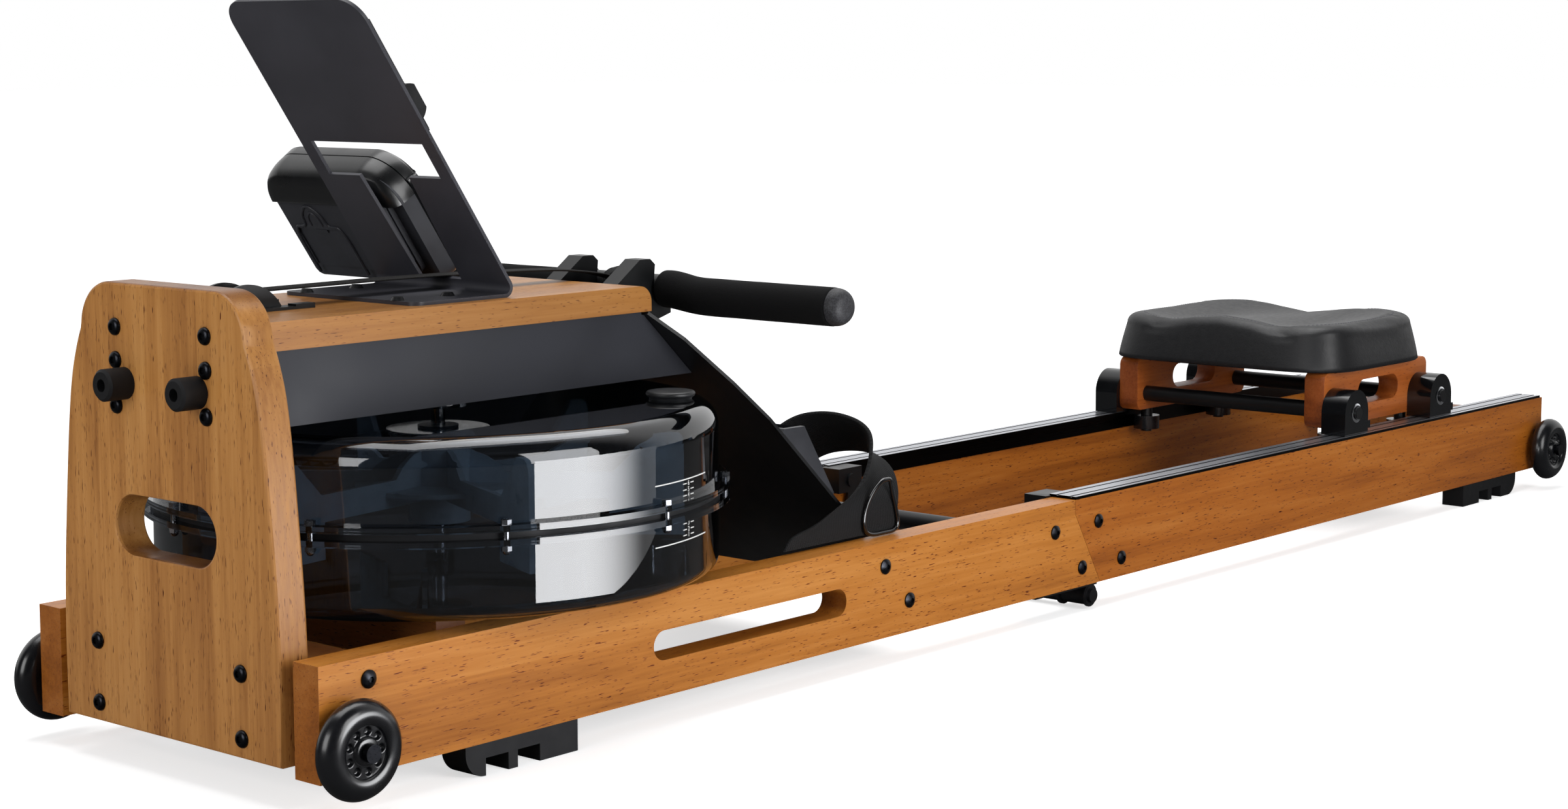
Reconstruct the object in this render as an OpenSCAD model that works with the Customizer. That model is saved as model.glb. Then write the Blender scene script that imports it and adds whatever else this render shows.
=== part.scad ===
// Folding water rowing machine. Millimetres, +X towards the rear, +Z up.
// Inside the modules x = 0 is the front end of the rails and z = 0 their lower edge;
// on_floor() moves that to the centre of the footprint, with the floor at z = 0.

/* [Frame rails] */
// Width over the outer faces of the two rails
frame_w = 347; // [330:1:370]
// Thickness of a rail
rail_t = 28.4; // [24:0.2:32]
// Height of a rail
rail_h = 88; // [80:1:100]
// Length of a front rail along its top edge
front_len = 956.4; // [930:0.2:980]
// Length of a rear rail along its top edge
rear_len = 1034.6; // [980:0.2:1060]
// Height of the upright part of the joint between front and rear rails
seam_face = 14; // [8:1:20]
// How far the slanted part of that joint runs back
seam_run = 44.4; // [35:0.2:50]
// Gap in the joint between front and rear rails
seam_gap = 0.4; // [0.3:0.1:1]
// Length of the long slot in a front rail
slot_len = 249; // [200:1:280]
// Height of that slot
slot_h = 25; // [18:1:30]
// Start of that slot behind the front end
slot_x = 352.5; // [330:0.5:380]
// Lower edge of that slot
slot_z = 30; // [26:1:36]

/* [Feet and wheels] */
// Height of the rubber feet, which is also the ground clearance
foot_h = 26; // [22:1:32]
// Length of a front foot
front_foot_len = 121; // [100:1:140]
// Start of the front foot
front_foot_x = 143; // [130:1:160]
// Length of a rear foot
rear_foot_len = 140; // [110:1:150]
// Distance from the rear foot to the rear end
rear_foot_inset = 68; // [50:1:80]
// Radius of the transport wheels
wheel_r = 38; // [34:0.5:40]
// Width of the transport wheels
wheel_w = 24; // [20:0.5:28]
// Axle of the front wheels behind the front end
front_wheel_x = 24; // [20:1:40]
// Axle of the rear wheels in front of the rear end
rear_wheel_inset = 10; // [6:1:20]
// Height of the wheel axles above the lower edge of the rails
wheel_z = 24.5; // [22:0.5:30]
// Diameter of the frame bolts and wheel axles
bolt_d = 8; // [7:0.5:10]
// Diameter of the bolt heads
bolt_head_d = 14; // [13:0.5:16]

/* [End plate and board] */
// Thickness of the front end plate
plate_t = 28; // [22:0.5:32]
// Front face of the end plate in front of the rails
plate_ahead = 3.5; // [0:0.5:8]
// Lower edge of the end plate
plate_lift = 6; // [2:1:12]
// Greatest width of the end plate
plate_w = 268; // [250:1:280]
// Width of the end plate at its shoulders
plate_shoulder_w = 202; // [190:1:212]
// Radius of the end plate's top corners
plate_corner_r = 36; // [25:1:45]
// Height of the board's top face
board_z = 330.7; // [315:0.1:345]
// Thickness of the board
board_t = 22; // [18:0.5:26]
// Width of the board
board_w = 187; // [170:1:200]
// Length of the board
board_len = 412.5; // [395:0.5:430]
// Height the end plate stands above the board
plate_above = 24; // [15:1:30]
// Length of the hand slot in the end plate
grip_slot_len = 124; // [110:1:140]
// Height of the hand slot
grip_slot_h = 47; // [35:1:55]
// Middle height of the hand slot
grip_slot_z = 168; // [160:1:190]
// Diameter of the rubber bumpers
bumper_d = 25; // [20:1:30]
// Length of the rubber bumpers
bumper_len = 22; // [16:0.5:28]
// Distance between the two bumpers
bumper_gap = 90; // [80:1:100]
// Height of the bumpers
bumper_z = 277.6; // [270:0.2:285]
// Depth of the steel skirt under the board
skirt_h = 58; // [50:1:60]

/* [Water tank] */
// Axis of the tank behind the front end
tank_x = 276; // [272:0.5:284]
// Outer diameter of the tank
tank_d = 468; // [440:1:476]
// Underside of the tank
tank_z = 100; // [94:0.5:104]
// Height of the tank's lower shell
tank_low_h = 64; // [58:1:70]
// Height of the tank's upper shell
tank_high_h = 70; // [62:1:72]
// Wall of the tank shells
tank_wall = 4; // [3:0.5:5]
// Width of the flanges around the tank
flange_w = 9.5; // [8:0.5:10]
// Thickness of a flange
flange_t = 5; // [4:0.5:6]
// Thickness of the sealing ring between the flanges
gasket_t = 6; // [4:0.5:8]
// Radius of the tank's upper shoulder
tank_shoulder_r = 21; // [14:1:26]
// Radius of the tank's lower corner
tank_corner_r = 12; // [6:1:16]
// Number of flange bolts
tank_bolts_n = 10; // [8:1:12]
// Distance between the two bearers under the tank
bearer_gap = 242; // [200:1:260]
// Width of a bearer
bearer_w = 30; // [24:1:40]
// Diameter of the filling cap
cap_d = 42; // [34:1:50]
// Distance of the filling cap from the tank axis
cap_reach = 194; // [185:1:196]

/* [Impeller] */
// Number of impeller arms
arms_n = 6; // [4:1:7]
// Reach of the impeller from its axis
arm_reach = 205; // [180:1:215]
// Height of an arm
arm_h = 22; // [16:1:26]
// Thickness of arms and blades
arm_t = 5; // [4:0.5:7]
// Height of a blade above and below its arm
blade_rise = 36; // [26:1:38]
// Diameter of the impeller shaft
shaft_d = 12; // [10:0.5:14]
// Diameter of the strap spool
spool_d = 74; // [60:1:90]
// Outer diameter of the bearing tube that the spool turns on
bearing_d = 26; // [22:1:30]

/* [Foot plate] */
// Slope of the foot plate below the horizontal
foot_slope = 42.5; // [41:0.25:44]
// Thickness of the steel sheet of foot plate, skirt and holder
sheet_t = 3; // [2:0.25:4]
// Length of the sloping foot plate
foot_plate_len = 405; // [390:1:410]
// Width of the foot plate at the feet
foot_plate_w = 278; // [265:1:282]
// Depth of the side ears that are bolted to the rails
ear_h = 42; // [34:1:46]
// Height of the footrest wedges
wedge_h = 22; // [16:1:28]
// Length of the footrest wedges down the slope
wedge_len = 94; // [80:1:110]
// Width of a footrest wedge
wedge_w = 96; // [80:1:104]
// Clear height inside a foot strap
strap_rise = 90; // [80:1:100]
// Width of the foot strap webbing
strap_w = 60; // [45:1:70]
// Thickness of the webbing
web_t = 2.6; // [2:0.2:3.4]
// Middle radius of the wire ring on a foot strap
ring_r = 20; // [16:1:24]
// Diameter of the ring's wire
ring_wire = 4; // [3:0.5:5]

/* [Handle] */
// Length of the handle over its end caps
handle_len = 508; // [500:1:540]
// Diameter of the grips
grip_d = 33; // [28:0.5:36]
// Diameter of the bar
bar_d = 25; // [22:0.5:26]
// Handle position behind the front end
handle_x = 505; // [500:1:515]
// Height of the bar's middle
handle_z = 320.5; // [316:0.5:326]
// Drop from the middle of the bar to the grips
handle_drop = 4.5; // [0:0.5:8]
// Distance of the spreader tube behind the front end
spreader_x = 838; // [760:1:880]
// Height of the spreader tube
spreader_z = 70; // [60:1:74]
// Diameter of the spreader tube
spreader_d = 19; // [16:1:22]
// Distance between the two hooks
hook_gap = 70; // [64:1:80]
// Width of a hook
hook_w = 18; // [12:1:20]
// Width of the pull strap
pull_w = 23; // [18:1:24]

/* [Tablet holder and monitor] */
// Lean of the upright away from the rower
lean = 34.8; // [28:0.2:38]
// Length of the upright above its bend
upright_len = 277; // [250:1:300]
// Width of the holder
holder_w = 163.2; // [150:0.2:180]
// Bend of the holder behind the front end
bend_x = 278; // [270:1:290]
// Length of the holder's foot in front of the bend
holder_foot = 98; // [90:1:110]
// Width of the monitor
monitor_w = 166; // [140:1:180]
// Height of the monitor
monitor_h = 118; // [100:1:130]
// Depth of the monitor housing
monitor_t = 34; // [28:1:40]
// Near edge of the monitor from the middle
monitor_y = 22; // [16:1:40]

/* [Seat] */
// Seat position at rest behind the front end
seat_x = 1624.5; // [1500:0.5:1700]
// Length of the seat pad
pad_len = 249; // [230:1:270]
// Width of the seat pad
pad_w = 314; // [290:1:330]
// Height of the seat pad
pad_h = 59; // [45:1:70]
// Length of the wooden side blocks
block_len = 245; // [230:1:250]
// Thickness of the side blocks
block_t = 26; // [22:1:28]
// Height of the side blocks
block_h = 64; // [58:1:70]
// Distance between the two roller axles
axle_gap = 203; // [190:1:210]
// Radius of the load rollers
roller_r = 24.2; // [22:0.2:26]
// Width of the load rollers
roller_w = 22; // [18:0.5:24]
// Radius of the guide rollers
guide_r = 15.5; // [13:0.5:16]
// Height of the guide rollers
guide_h = 16; // [12:0.5:16]
// Distance between the guide rollers of one side
guide_gap = 164; // [150:1:170]
// Thickness of the aluminium track
track_t = 3; // [2:0.5:4]
// Depth of the track's inner lip
track_lip = 16; // [12:1:20]
// Diameter of the hinge tube and the carriage tubes
tube_d = 20; // [16:0.5:22]

/* [Hidden] */
$fn = 64;
run_fit = 0.05;
loose = 0.3;
rear_end = front_len + rear_len;
foremost = -plate_ahead - bumper_len;
rear_wheel_x = rear_end - rear_wheel_inset;
rearmost = max(rear_end, rear_wheel_x + wheel_r);
mid_x = (foremost + rearmost) / 2;
rail_out = frame_w / 2;
rail_in = rail_out - rail_t;
wheel_y = rail_out + 2.5 + wheel_w / 2;
plate_back = plate_t - plate_ahead;
board_low = board_z - board_t;
board_end = plate_back + board_len;
plate_top = board_z + plate_above;
side_bolts = [[47, 71], [656.6, 65.5], [692, 29.4], [922.4, 60.2], [969, 19]];
rear_side_bolts = [[front_len + 40.4, 62], [front_len + 82, 19], [rear_end - 16, 42]];
plate_bolts = [[89, 71], [89, 21.5], [55.6, 320.5], [55.6, 294.8], [55.6, 260]];
hinge_x = front_len + 30.6;
hinge_z = -2 - tube_d / 2;
lug_t = 3;
// tank
tank_r = tank_d / 2;
flange_r = tank_r + flange_w;
split_z = tank_z + tank_low_h;
high_z = split_z + gasket_t;
tank_top = high_z + tank_high_h;
arm_z = split_z + 6;
spool_z = tank_top + 22;
spool_h = pull_w + 6;
cap_angle = -45.6;
cap_x = tank_x + cap_reach * cos(cap_angle);
cap_y = cap_reach * sin(cap_angle);
// foot plate frame
foot_x = board_end - 6;
foot_z = board_low - sheet_t / 2 * cos(foot_slope);
strap_v = 300;
strap_far = foot_plate_w / 2 + 2.4;
strap_near = 18;
// pulley
pulley_x = 68;
pulley_r = 30;
pulley_z = board_z - 17;
pulley_w = pull_w + 1;
guard_in = pulley_w / 2 + 1.2;
guard_t = 3;
guard_r = 38;
strap_top = pulley_z + pulley_r + loose;
// holder
bend_r = 8;
bend_z = board_z + bend_r;
monitor_off = bend_r + 9;
// seat
track_top = rail_h + track_t;
axle_z = track_top + loose + roller_r;
block_z = track_top + 5;
block_y = 126;
guide_z = rail_h - track_lip - 2;
guide_y = rail_in - track_t - guide_r - 0.6;
cover_r = roller_r + 2.3;
cover_y = block_y + block_t / 2;
cover_w = 30.4;
pad_z = block_z + block_h;
pin_r = 4;

// ---------- helpers ----------
module on_floor() {
    translate([-mid_x, 0, foot_h]) children();
}
module both_sides() {
    children();
    mirror([0, 1, 0]) children();
}
module along_y(d, len) {
    rotate([90, 0, 0]) cylinder(d = d, h = len, center = true);
}
// plate in the XZ plane, from y0 to y0 + t
module upright_sheet(y0, t) {
    translate([0, y0 + t, 0]) rotate([90, 0, 0]) linear_extrude(t) children();
}
module round_rect(w, h, r) {
    square([w - 2 * r, h], center = true);
    square([w, h - 2 * r], center = true);
    for (x = [-1, 1], y = [-1, 1]) translate([x * (w / 2 - r), y * (h / 2 - r)]) circle(r);
}
module stadium(len, h) {
    square([len - h, h], center = true);
    for (s = [-1, 1]) translate([s * (len - h) / 2, 0]) circle(d = h);
}
// a strip between two points of a plane
module strip(a, b, w) {
    translate(a) rotate(atan2(b[1] - a[1], b[0] - a[0])) translate([0, -w / 2]) square([norm(b - a), w]);
}
module on_foot_plate() {
    translate([foot_x, 0, foot_z]) rotate([0, foot_slope, 0]) children();
}
module on_upright() {
    translate([bend_x, 0, bend_z]) rotate([0, -lean, 0]) children();
}
// button-head bolt on the outer face of a rail: head outside, shank through the rail
module side_bolt(x, z, inner) {
    translate([x, -rail_out, z]) rotate([-90, 0, 0]) {
        cylinder(d = bolt_d - 0.2, h = rail_out - inner);
        difference() {
            intersection() {
                translate([0, 0, -4.4]) cylinder(d = bolt_head_d, h = 4.4);
                translate([0, 0, bolt_head_d * 0.46]) sphere(d = bolt_head_d * 1.5);
            }
            translate([0, 0, -5]) cylinder(d = 5, h = 2.6, $fn = 6);
        }
    }
}
module bolt_hole(x, z) {
    translate([x, -rail_out - 1, z]) rotate([-90, 0, 0]) cylinder(d = bolt_d, h = rail_t + 2);
}

// ---------- wooden frame ----------
module front_rail_outline() {
    polygon([[0, 0], [front_len + seam_run, 0], [front_len, rail_h - seam_face], [front_len, rail_h], [0, rail_h]]);
}
module front_rail_solid() {
    difference() {
        upright_sheet(-rail_out, rail_t) difference() {
            front_rail_outline();
            translate([slot_x + slot_len / 2, slot_z + slot_h / 2]) stadium(slot_len, slot_h);
        }
        for (p = side_bolts) bolt_hole(p[0], p[1]);
        bolt_hole(front_wheel_x, wheel_z);
    }
}
module front_rail_left() {
    color("peru") on_floor() front_rail_solid();
}
module front_rail_right() {
    color("peru") on_floor() mirror([0, 1, 0]) front_rail_solid();
}
module rear_rail_solid() {
    difference() {
        upright_sheet(-rail_out, rail_t) polygon([[front_len + seam_run + seam_gap, 0], [rear_end, 0],
            [rear_end, rail_h], [front_len + seam_gap, rail_h], [front_len + seam_gap, rail_h - seam_face]]);
        for (p = rear_side_bolts) bolt_hole(p[0], p[1]);
        bolt_hole(rear_wheel_x, wheel_z);
    }
}
module rear_rail_left() {
    color("peru") on_floor() rear_rail_solid();
}
module rear_rail_right() {
    color("peru") on_floor() mirror([0, 1, 0]) rear_rail_solid();
}
module end_plate_outline() {
    half = plate_w / 2;
    top = plate_shoulder_w / 2;
    corner_y = top - plate_corner_r;
    corner_z = plate_top - plate_corner_r;
    polygon([for (s = [[half - 1, plate_lift], [half, 100], [half - 4, 128], [half - 12, 230], [half - 17, 274],
        [top + 4.6, corner_z - 6.5], [top, corner_z]]) s,
        for (s = [[top, corner_z], [top + 4.6, corner_z - 6.5], [half - 17, 274], [half - 12, 230],
        [half - 4, 128], [half, 100], [half - 1, plate_lift]]) [-s[0], s[1]]]);
    translate([-corner_y, corner_z - 1]) square([2 * corner_y, plate_corner_r + 1]);
    for (s = [-1, 1]) translate([s * corner_y, corner_z]) circle(plate_corner_r);
}
module end_plate() {
    color("peru") on_floor() difference() {
        translate([-plate_ahead, 0, 0]) rotate([90, 0, 90]) linear_extrude(plate_t) difference() {
            end_plate_outline();
            translate([0, grip_slot_z]) stadium(grip_slot_len, grip_slot_h);
        }
        for (s = [-1, 1], p = plate_bolts)
            translate([-plate_ahead - 1, s * p[0], p[1]]) rotate([0, 90, 0]) cylinder(d = 6.4, h = plate_t + 2);
        for (s = [-1, 1])
            translate([-plate_ahead - 1, s * bumper_gap / 2, bumper_z]) rotate([0, 90, 0])
                cylinder(d = 6.4, h = plate_t + 2);
    }
}
module tank_bearers() {
    color("sienna") on_floor() {
        translate([plate_back, -rail_in, 8]) cube([bearer_w + 8, 2 * rail_in, rail_h - 12]);
        for (s = [-1, 1]) translate([tank_x + s * bearer_gap / 2 - bearer_w / 2, -rail_in, slot_z + slot_h + 3])
            cube([bearer_w, 2 * rail_in, tank_z - slot_z - slot_h - 3]);
    }
}
module top_board() {
    edge_r = 14;
    color("peru") on_floor() difference() {
        translate([0, board_w / 2, 0]) rotate([90, 0, 0]) linear_extrude(board_w) {
            translate([plate_back, board_low]) square([board_len - edge_r, board_t]);
            translate([plate_back, board_low]) square([board_len, board_t - edge_r]);
            intersection() {
                translate([board_end - edge_r, board_z - edge_r]) circle(edge_r);
                translate([plate_back, board_low]) square([board_len, board_t]);
            }
        }
        translate([pulley_x, 0, board_low - 1]) linear_extrude(board_t + 2)
            square([2 * pulley_r + 8, 2 * (guard_in + guard_t) + 1], center = true);
    }
}
module rear_cross_bar() {
    color("sienna") on_floor() translate([rear_end - 36, -rail_in, 30])
        cube([28, 2 * rail_in, rail_h - track_lip - 32]);
}

// ---------- steel and rubber of the frame ----------
module board_skirt() {
    low = board_low - skirt_h;
    half = board_w / 2 - 3;
    // the skirt ends just under the foot plate
    back = foot_x + ((sheet_t + foot_z - board_low) * cos(foot_slope) - sheet_t / 2 - loose) / sin(foot_slope);
    slope_x = (skirt_h - sheet_t) / tan(foot_slope);
    color("dimgray") on_floor() difference() {
        union() {
            translate([plate_back, -half, board_low - sheet_t]) cube([back - sheet_t - plate_back, 2 * half, sheet_t]);
            both_sides() upright_sheet(-half, 2) polygon([[plate_back, low], [back + slope_x, low],
                [back, board_low - sheet_t + 0.01], [plate_back, board_low - sheet_t + 0.01]]);
            // bearing tube for the spool, with a collar under it
            translate([tank_x, 0, spool_z - loose - 2]) {
                cylinder(d = bearing_d, h = board_low - spool_z);
                cylinder(d = bearing_d + 8, h = 2);
            }
        }
        translate([tank_x, 0, spool_z - 10]) cylinder(d = shaft_d + 2 * run_fit, h = board_low - spool_z + 20);
        translate([pulley_x - pulley_r - 4, -guard_in - guard_t - 0.5, board_low - 10])
            cube([2 * pulley_r + 8, 2 * (guard_in + guard_t) + 1, 20]);
    }
}
module foot_plate() {
    half = foot_plate_w / 2;
    ear_v = 340;
    // half outline: distance down the slope and half width
    edge = [[0, half - 44], [34, half - 25], [94, half - 9], [146, half], [ear_v - 4, half], [ear_v, rail_in],
        [foot_plate_len, rail_in]];
    last = len(edge) - 1;
    color("#141417") on_floor() difference() {
        on_foot_plate() {
            translate([0, 0, -sheet_t / 2]) linear_extrude(sheet_t)
                polygon([for (p = edge) p, for (i = [0 : last]) [edge[last - i][0], -edge[last - i][1]]]);
            both_sides() upright_sheet(-rail_in, sheet_t) polygon([[ear_v, sheet_t / 2],
                [ear_v - 24, -20], [ear_v - 24, -ear_h], [foot_plate_len, -ear_h], [foot_plate_len, sheet_t / 2]]);
        }
        both_sides() for (i = [1, 2]) translate([side_bolts[i][0], -rail_in - 5, side_bolts[i][1]])
            rotate([-90, 0, 0]) cylinder(d = bolt_d, h = 12);
    }
}
module wedge_solid() {
    y0 = -foot_plate_w / 2 + 0.5;
    base = sheet_t / 2;
    difference() {
        translate([168, 0, 0]) upright_sheet(y0, wedge_w) polygon([[0, base], [wedge_len, base],
            [wedge_len, base + 2], [20, base + wedge_h], [0, base + 4]]);
        translate([168, 0, 0]) upright_sheet(y0 + 5, wedge_w - 10) polygon([[4, base + 3],
            [wedge_len * 0.55, base + 3], [26, base + wedge_h - 4], [18, base + wedge_h + 2], [2, base + 12]]);
    }
}
module footrests() {
    color("#3c3d44") on_floor() on_foot_plate() both_sides() wedge_solid();
}
// cross-section of a foot strap seen down the slope: flat feet, rounded top
module strap_section(grow) {
    w = strap_far - strap_near + 2 * grow;
    h = strap_rise + grow;
    r = 42 + grow;
    translate([-strap_far - grow, 0]) square([w, h - r]);
    translate([-strap_far - grow + r, 0]) square([w - 2 * r, h]);
    for (x = [-strap_far - grow + r, -strap_near + grow - r]) translate([x, h - r]) circle(r);
}
module strap_band() {
    base = sheet_t / 2;
    translate([strap_v - strap_w / 2, 0, base + loose]) rotate([90, 0, 90]) linear_extrude(strap_w)
        difference() {
            strap_section(web_t);
            strap_section(0);
        }
    // the outer end is folded round the edge of the plate and lies under it
    wrap_low = -base - loose - web_t;
    translate([strap_v - strap_w / 2, 0, 0]) rotate([90, 0, 90]) linear_extrude(strap_w) {
        translate([-strap_far - web_t, wrap_low]) square([web_t, base + loose - wrap_low]);
        translate([-strap_far - web_t, wrap_low]) square([40, web_t]);
    }
}
module foot_straps() {
    color("#1b1b1d") on_floor() on_foot_plate() both_sides() strap_band();
}
module ring_solid() {
    strap_foot = on_slope(strap_v + strap_w / 2);
    translate([strap_foot[0] + ring_r - 6, -strap_far - web_t - ring_wire / 2 - loose, rail_h + ring_r + 5])
        rotate([90, 0, 0]) rotate_extrude() translate([ring_r, 0]) circle(d = ring_wire);
}
module strap_rings() {
    color("#202024") on_floor() both_sides() ring_solid();
}
module spreader_tube() {
    color("#141417") on_floor() translate([spreader_x, 0, spreader_z]) along_y(spreader_d, 2 * rail_in);
}
module hinge_front() {
    color("#202024") on_floor() difference() {
        union() {
            translate([hinge_x, 0, hinge_z]) along_y(tube_d, 2 * rail_out - 3);
            both_sides() {
                translate([hinge_x - 95, -rail_out + 1, -2]) cube([105, rail_t + sheet_t - 1, 2]);
                upright_sheet(-rail_in, sheet_t) polygon([[hinge_x - 95, -2], [hinge_x - 95, 8],
                    [hinge_x - 80, 74], [hinge_x - 50, 74], [hinge_x - 4, 30], [hinge_x - 4, -2]]);
                translate([hinge_x, -rail_out + 2, hinge_z]) rotate([90, 0, 0]) cylinder(d = bolt_head_d, h = 4);
                translate([hinge_x, -rail_out + 4, hinge_z]) rotate([90, 0, 0])
                    cylinder(d = tube_d + 3, h = 2);
            }
        }
        both_sides() for (i = [3, 4]) translate([side_bolts[i][0], -rail_in - 5, side_bolts[i][1]])
            rotate([-90, 0, 0]) cylinder(d = bolt_d, h = 12);
    }
}
module hinge_rear() {
    lug_y = rail_in - sheet_t - 1 - lug_t;
    lug_w = tube_d + 4;
    bolts = [rear_side_bolts[0], rear_side_bolts[1]];
    color("#202024") on_floor() both_sides() difference() {
        union() {
            upright_sheet(-lug_y - lug_t, lug_t) {
                strip([hinge_x, hinge_z], bolts[0], lug_w);
                strip([hinge_x, hinge_z], bolts[1], lug_w);
                strip(bolts[0], bolts[1], 22);
                translate([hinge_x, hinge_z]) circle(tube_d / 2 + 2.5);
                for (b = bolts) translate(b) circle(11);
            }
            for (b = bolts) translate([b[0], -rail_in, b[1]]) rotate([-90, 0, 0])
                cylinder(d = 18, h = rail_in - lug_y - lug_t + 1);
        }
        translate([hinge_x, -lug_y, hinge_z]) along_y(tube_d + 2 * run_fit, 20);
        for (b = bolts) translate([b[0], -rail_in - 5, b[1]]) rotate([-90, 0, 0]) cylinder(d = bolt_d, h = 20);
    }
}
module latch_blocks() {
    z0 = rail_h - 24;
    inner = rail_in - sheet_t - 0.8;
    color("#202024") on_floor() both_sides() {
        translate([front_len - 10, -rail_in, z0 + 10]) cube([9, rail_in - inner + 6, 16]);
        translate([front_len - 10, -inner, z0]) cube([38, 22, 26]);
        translate([front_len + 9, -inner + 22, z0 + 13]) rotate([-90, 0, 0]) cylinder(d = 14, h = 3);
    }
}
module foot_pad(x0, len) {
    difference() {
        upright_sheet(-rail_out + 0.5, rail_t - 1) union() {
            translate([x0, -foot_h]) square([len - 20, foot_h]);
            translate([x0, 20 - foot_h]) square([len, foot_h - 20]);
            intersection() {
                translate([x0 + len - 20, -foot_h + 20]) circle(20);
                translate([x0, -foot_h]) square([len, foot_h]);
            }
        }
        for (x = [42, 76]) translate([x0 + x, -rail_out - 1, -foot_h - 1]) cube([24, rail_t + 2, foot_h - 11]);
    }
}
module front_feet() {
    color("#1d1d20") on_floor() both_sides() translate([2 * front_foot_x + front_foot_len, 0, 0])
        mirror([1, 0, 0]) foot_pad(front_foot_x, front_foot_len);
}
module rear_feet() {
    color("#1d1d20") on_floor() both_sides()
        foot_pad(rear_end - rear_foot_inset - rear_foot_len, rear_foot_len);
}
module bumpers() {
    color("#1d1d20") on_floor() both_sides()
        translate([-plate_ahead, -bumper_gap / 2, bumper_z]) rotate([0, -90, 0]) difference() {
            union() {
                cylinder(d = bumper_d, h = bumper_len - 2);
                translate([0, 0, bumper_len - 2]) cylinder(d1 = bumper_d, d2 = bumper_d - 4, h = 2);
            }
            translate([0, 0, 6]) cylinder(d = 10, h = bumper_len);
        }
}
module front_bolts() {
    color("#18181b") on_floor() {
        both_sides() {
            for (i = [0 : 4]) side_bolt(side_bolts[i][0], side_bolts[i][1], rail_in - (i > 0 ? 5 : 0));
            translate([front_wheel_x, -wheel_y - wheel_w / 2 - 2.5, wheel_z]) rotate([-90, 0, 0]) {
                cylinder(d = bolt_d, h = wheel_w + 5 + rail_t);
                translate([0, 0, -3]) cylinder(d = bolt_head_d, h = 4.5);
            }
            translate([front_wheel_x, -rail_out, wheel_z]) rotate([90, 0, 0]) cylinder(d = 13, h = 2.2);
        }
        for (s = [-1, 1], p = plate_bolts) translate([-plate_ahead, s * p[0], p[1]]) rotate([0, 90, 0]) {
            cylinder(d = 6, h = plate_t);
            translate([0, 0, -2.5]) cylinder(d1 = 8, d2 = 12, h = 2.5);
        }
    }
}
module rear_bolts() {
    color("#18181b") on_floor() both_sides() {
        for (i = [0 : 2]) side_bolt(rear_side_bolts[i][0], rear_side_bolts[i][1], rail_in - (i < 2 ? 5 : 0));
        translate([rear_wheel_x, -wheel_y - wheel_w / 2 - 2.5, wheel_z]) rotate([-90, 0, 0]) {
            cylinder(d = bolt_d, h = wheel_w + 5 + rail_t);
            translate([0, 0, -3]) cylinder(d = bolt_head_d, h = 4.5);
        }
        translate([rear_wheel_x, -rail_out, wheel_z]) rotate([90, 0, 0]) cylinder(d = 13, h = 2.2);
    }
}

// ---------- transport wheels ----------
module transport_wheel(x) {
    translate([x, -wheel_y, wheel_z]) rotate([90, 0, 0]) difference() {
        rotate_extrude() difference() {
            union() {
                translate([wheel_r - wheel_w / 2, 0]) circle(wheel_w / 2);
                translate([bolt_d / 2, -wheel_w / 2]) square([wheel_r - wheel_w / 2 - bolt_d / 2, wheel_w]);
            }
            translate([0, -wheel_w]) square([bolt_d / 2 + run_fit, 2 * wheel_w]);
            for (s = [-1, 1]) translate([10, s * wheel_w / 2 - 3]) square([17, 6]);
        }
        for (a = [0 : 60 : 300]) rotate(a) translate([16, 0, -wheel_w]) cylinder(r = 4, h = 2 * wheel_w);
    }
}
module front_wheel_left() {
    color("#26272b") on_floor() transport_wheel(front_wheel_x);
}
module front_wheel_right() {
    color("#26272b") on_floor() mirror([0, 1, 0]) transport_wheel(front_wheel_x);
}
module rear_wheel_left() {
    color("#26272b") on_floor() transport_wheel(rear_wheel_x);
}
module rear_wheel_right() {
    color("#26272b") on_floor() mirror([0, 1, 0]) transport_wheel(rear_wheel_x);
}

// ---------- water tank ----------
module lower_profile(inset) {
    r = tank_r - inset;
    z = tank_z + inset;
    c = tank_corner_r - inset;
    square_top = split_z - z + (inset > 0 ? 1 : 0);
    translate([0, z]) square([r - c, square_top]);
    translate([0, z + c]) square([r, square_top - c]);
    translate([r - c, z + c]) circle(c);
}
module tank_lower_shell() {
    fin = 20;
    color("#3a4148", 0.4) on_floor() translate([tank_x, 0, 0]) {
        difference() {
            rotate_extrude($fn = 160) intersection() {
                difference() {
                    union() {
                        lower_profile(0);
                        translate([tank_r - 1, split_z - flange_t]) square([flange_w + 1, flange_t]);
                    }
                    lower_profile(tank_wall);
                }
                translate([0, 0]) square([2 * tank_r, split_z]);
            }
            for (i = [0 : tank_bolts_n - 1]) rotate(i * 360 / tank_bolts_n - 12)
                translate([tank_r + flange_w / 2, 0, split_z - flange_t - 1]) cylinder(d = 5.2, h = flange_t + 2);
        }
        difference() {
            translate([0, 0, tank_z + tank_wall - 0.01]) cylinder(d = 2 * shaft_d, h = 10);
            translate([0, 0, tank_z + tank_wall + 2]) cylinder(d = shaft_d + 2 * run_fit, h = 10);
        }
        for (i = [0 : 11]) rotate(i * 30 + 15) translate([tank_r - tank_wall - fin + 0.5, -2, tank_z + tank_corner_r])
            cube([fin, 4, 28]);
    }
}
module upper_profile(inset) {
    r = tank_r - inset;
    c = tank_shoulder_r - inset;
    top = tank_top - inset;
    low = high_z - (inset > 0 ? 1 : 0);
    translate([0, low]) square([r - c, top - low]);
    translate([0, low]) square([r, top - c - low]);
    translate([r - c, top - c]) circle(c);
}
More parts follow.
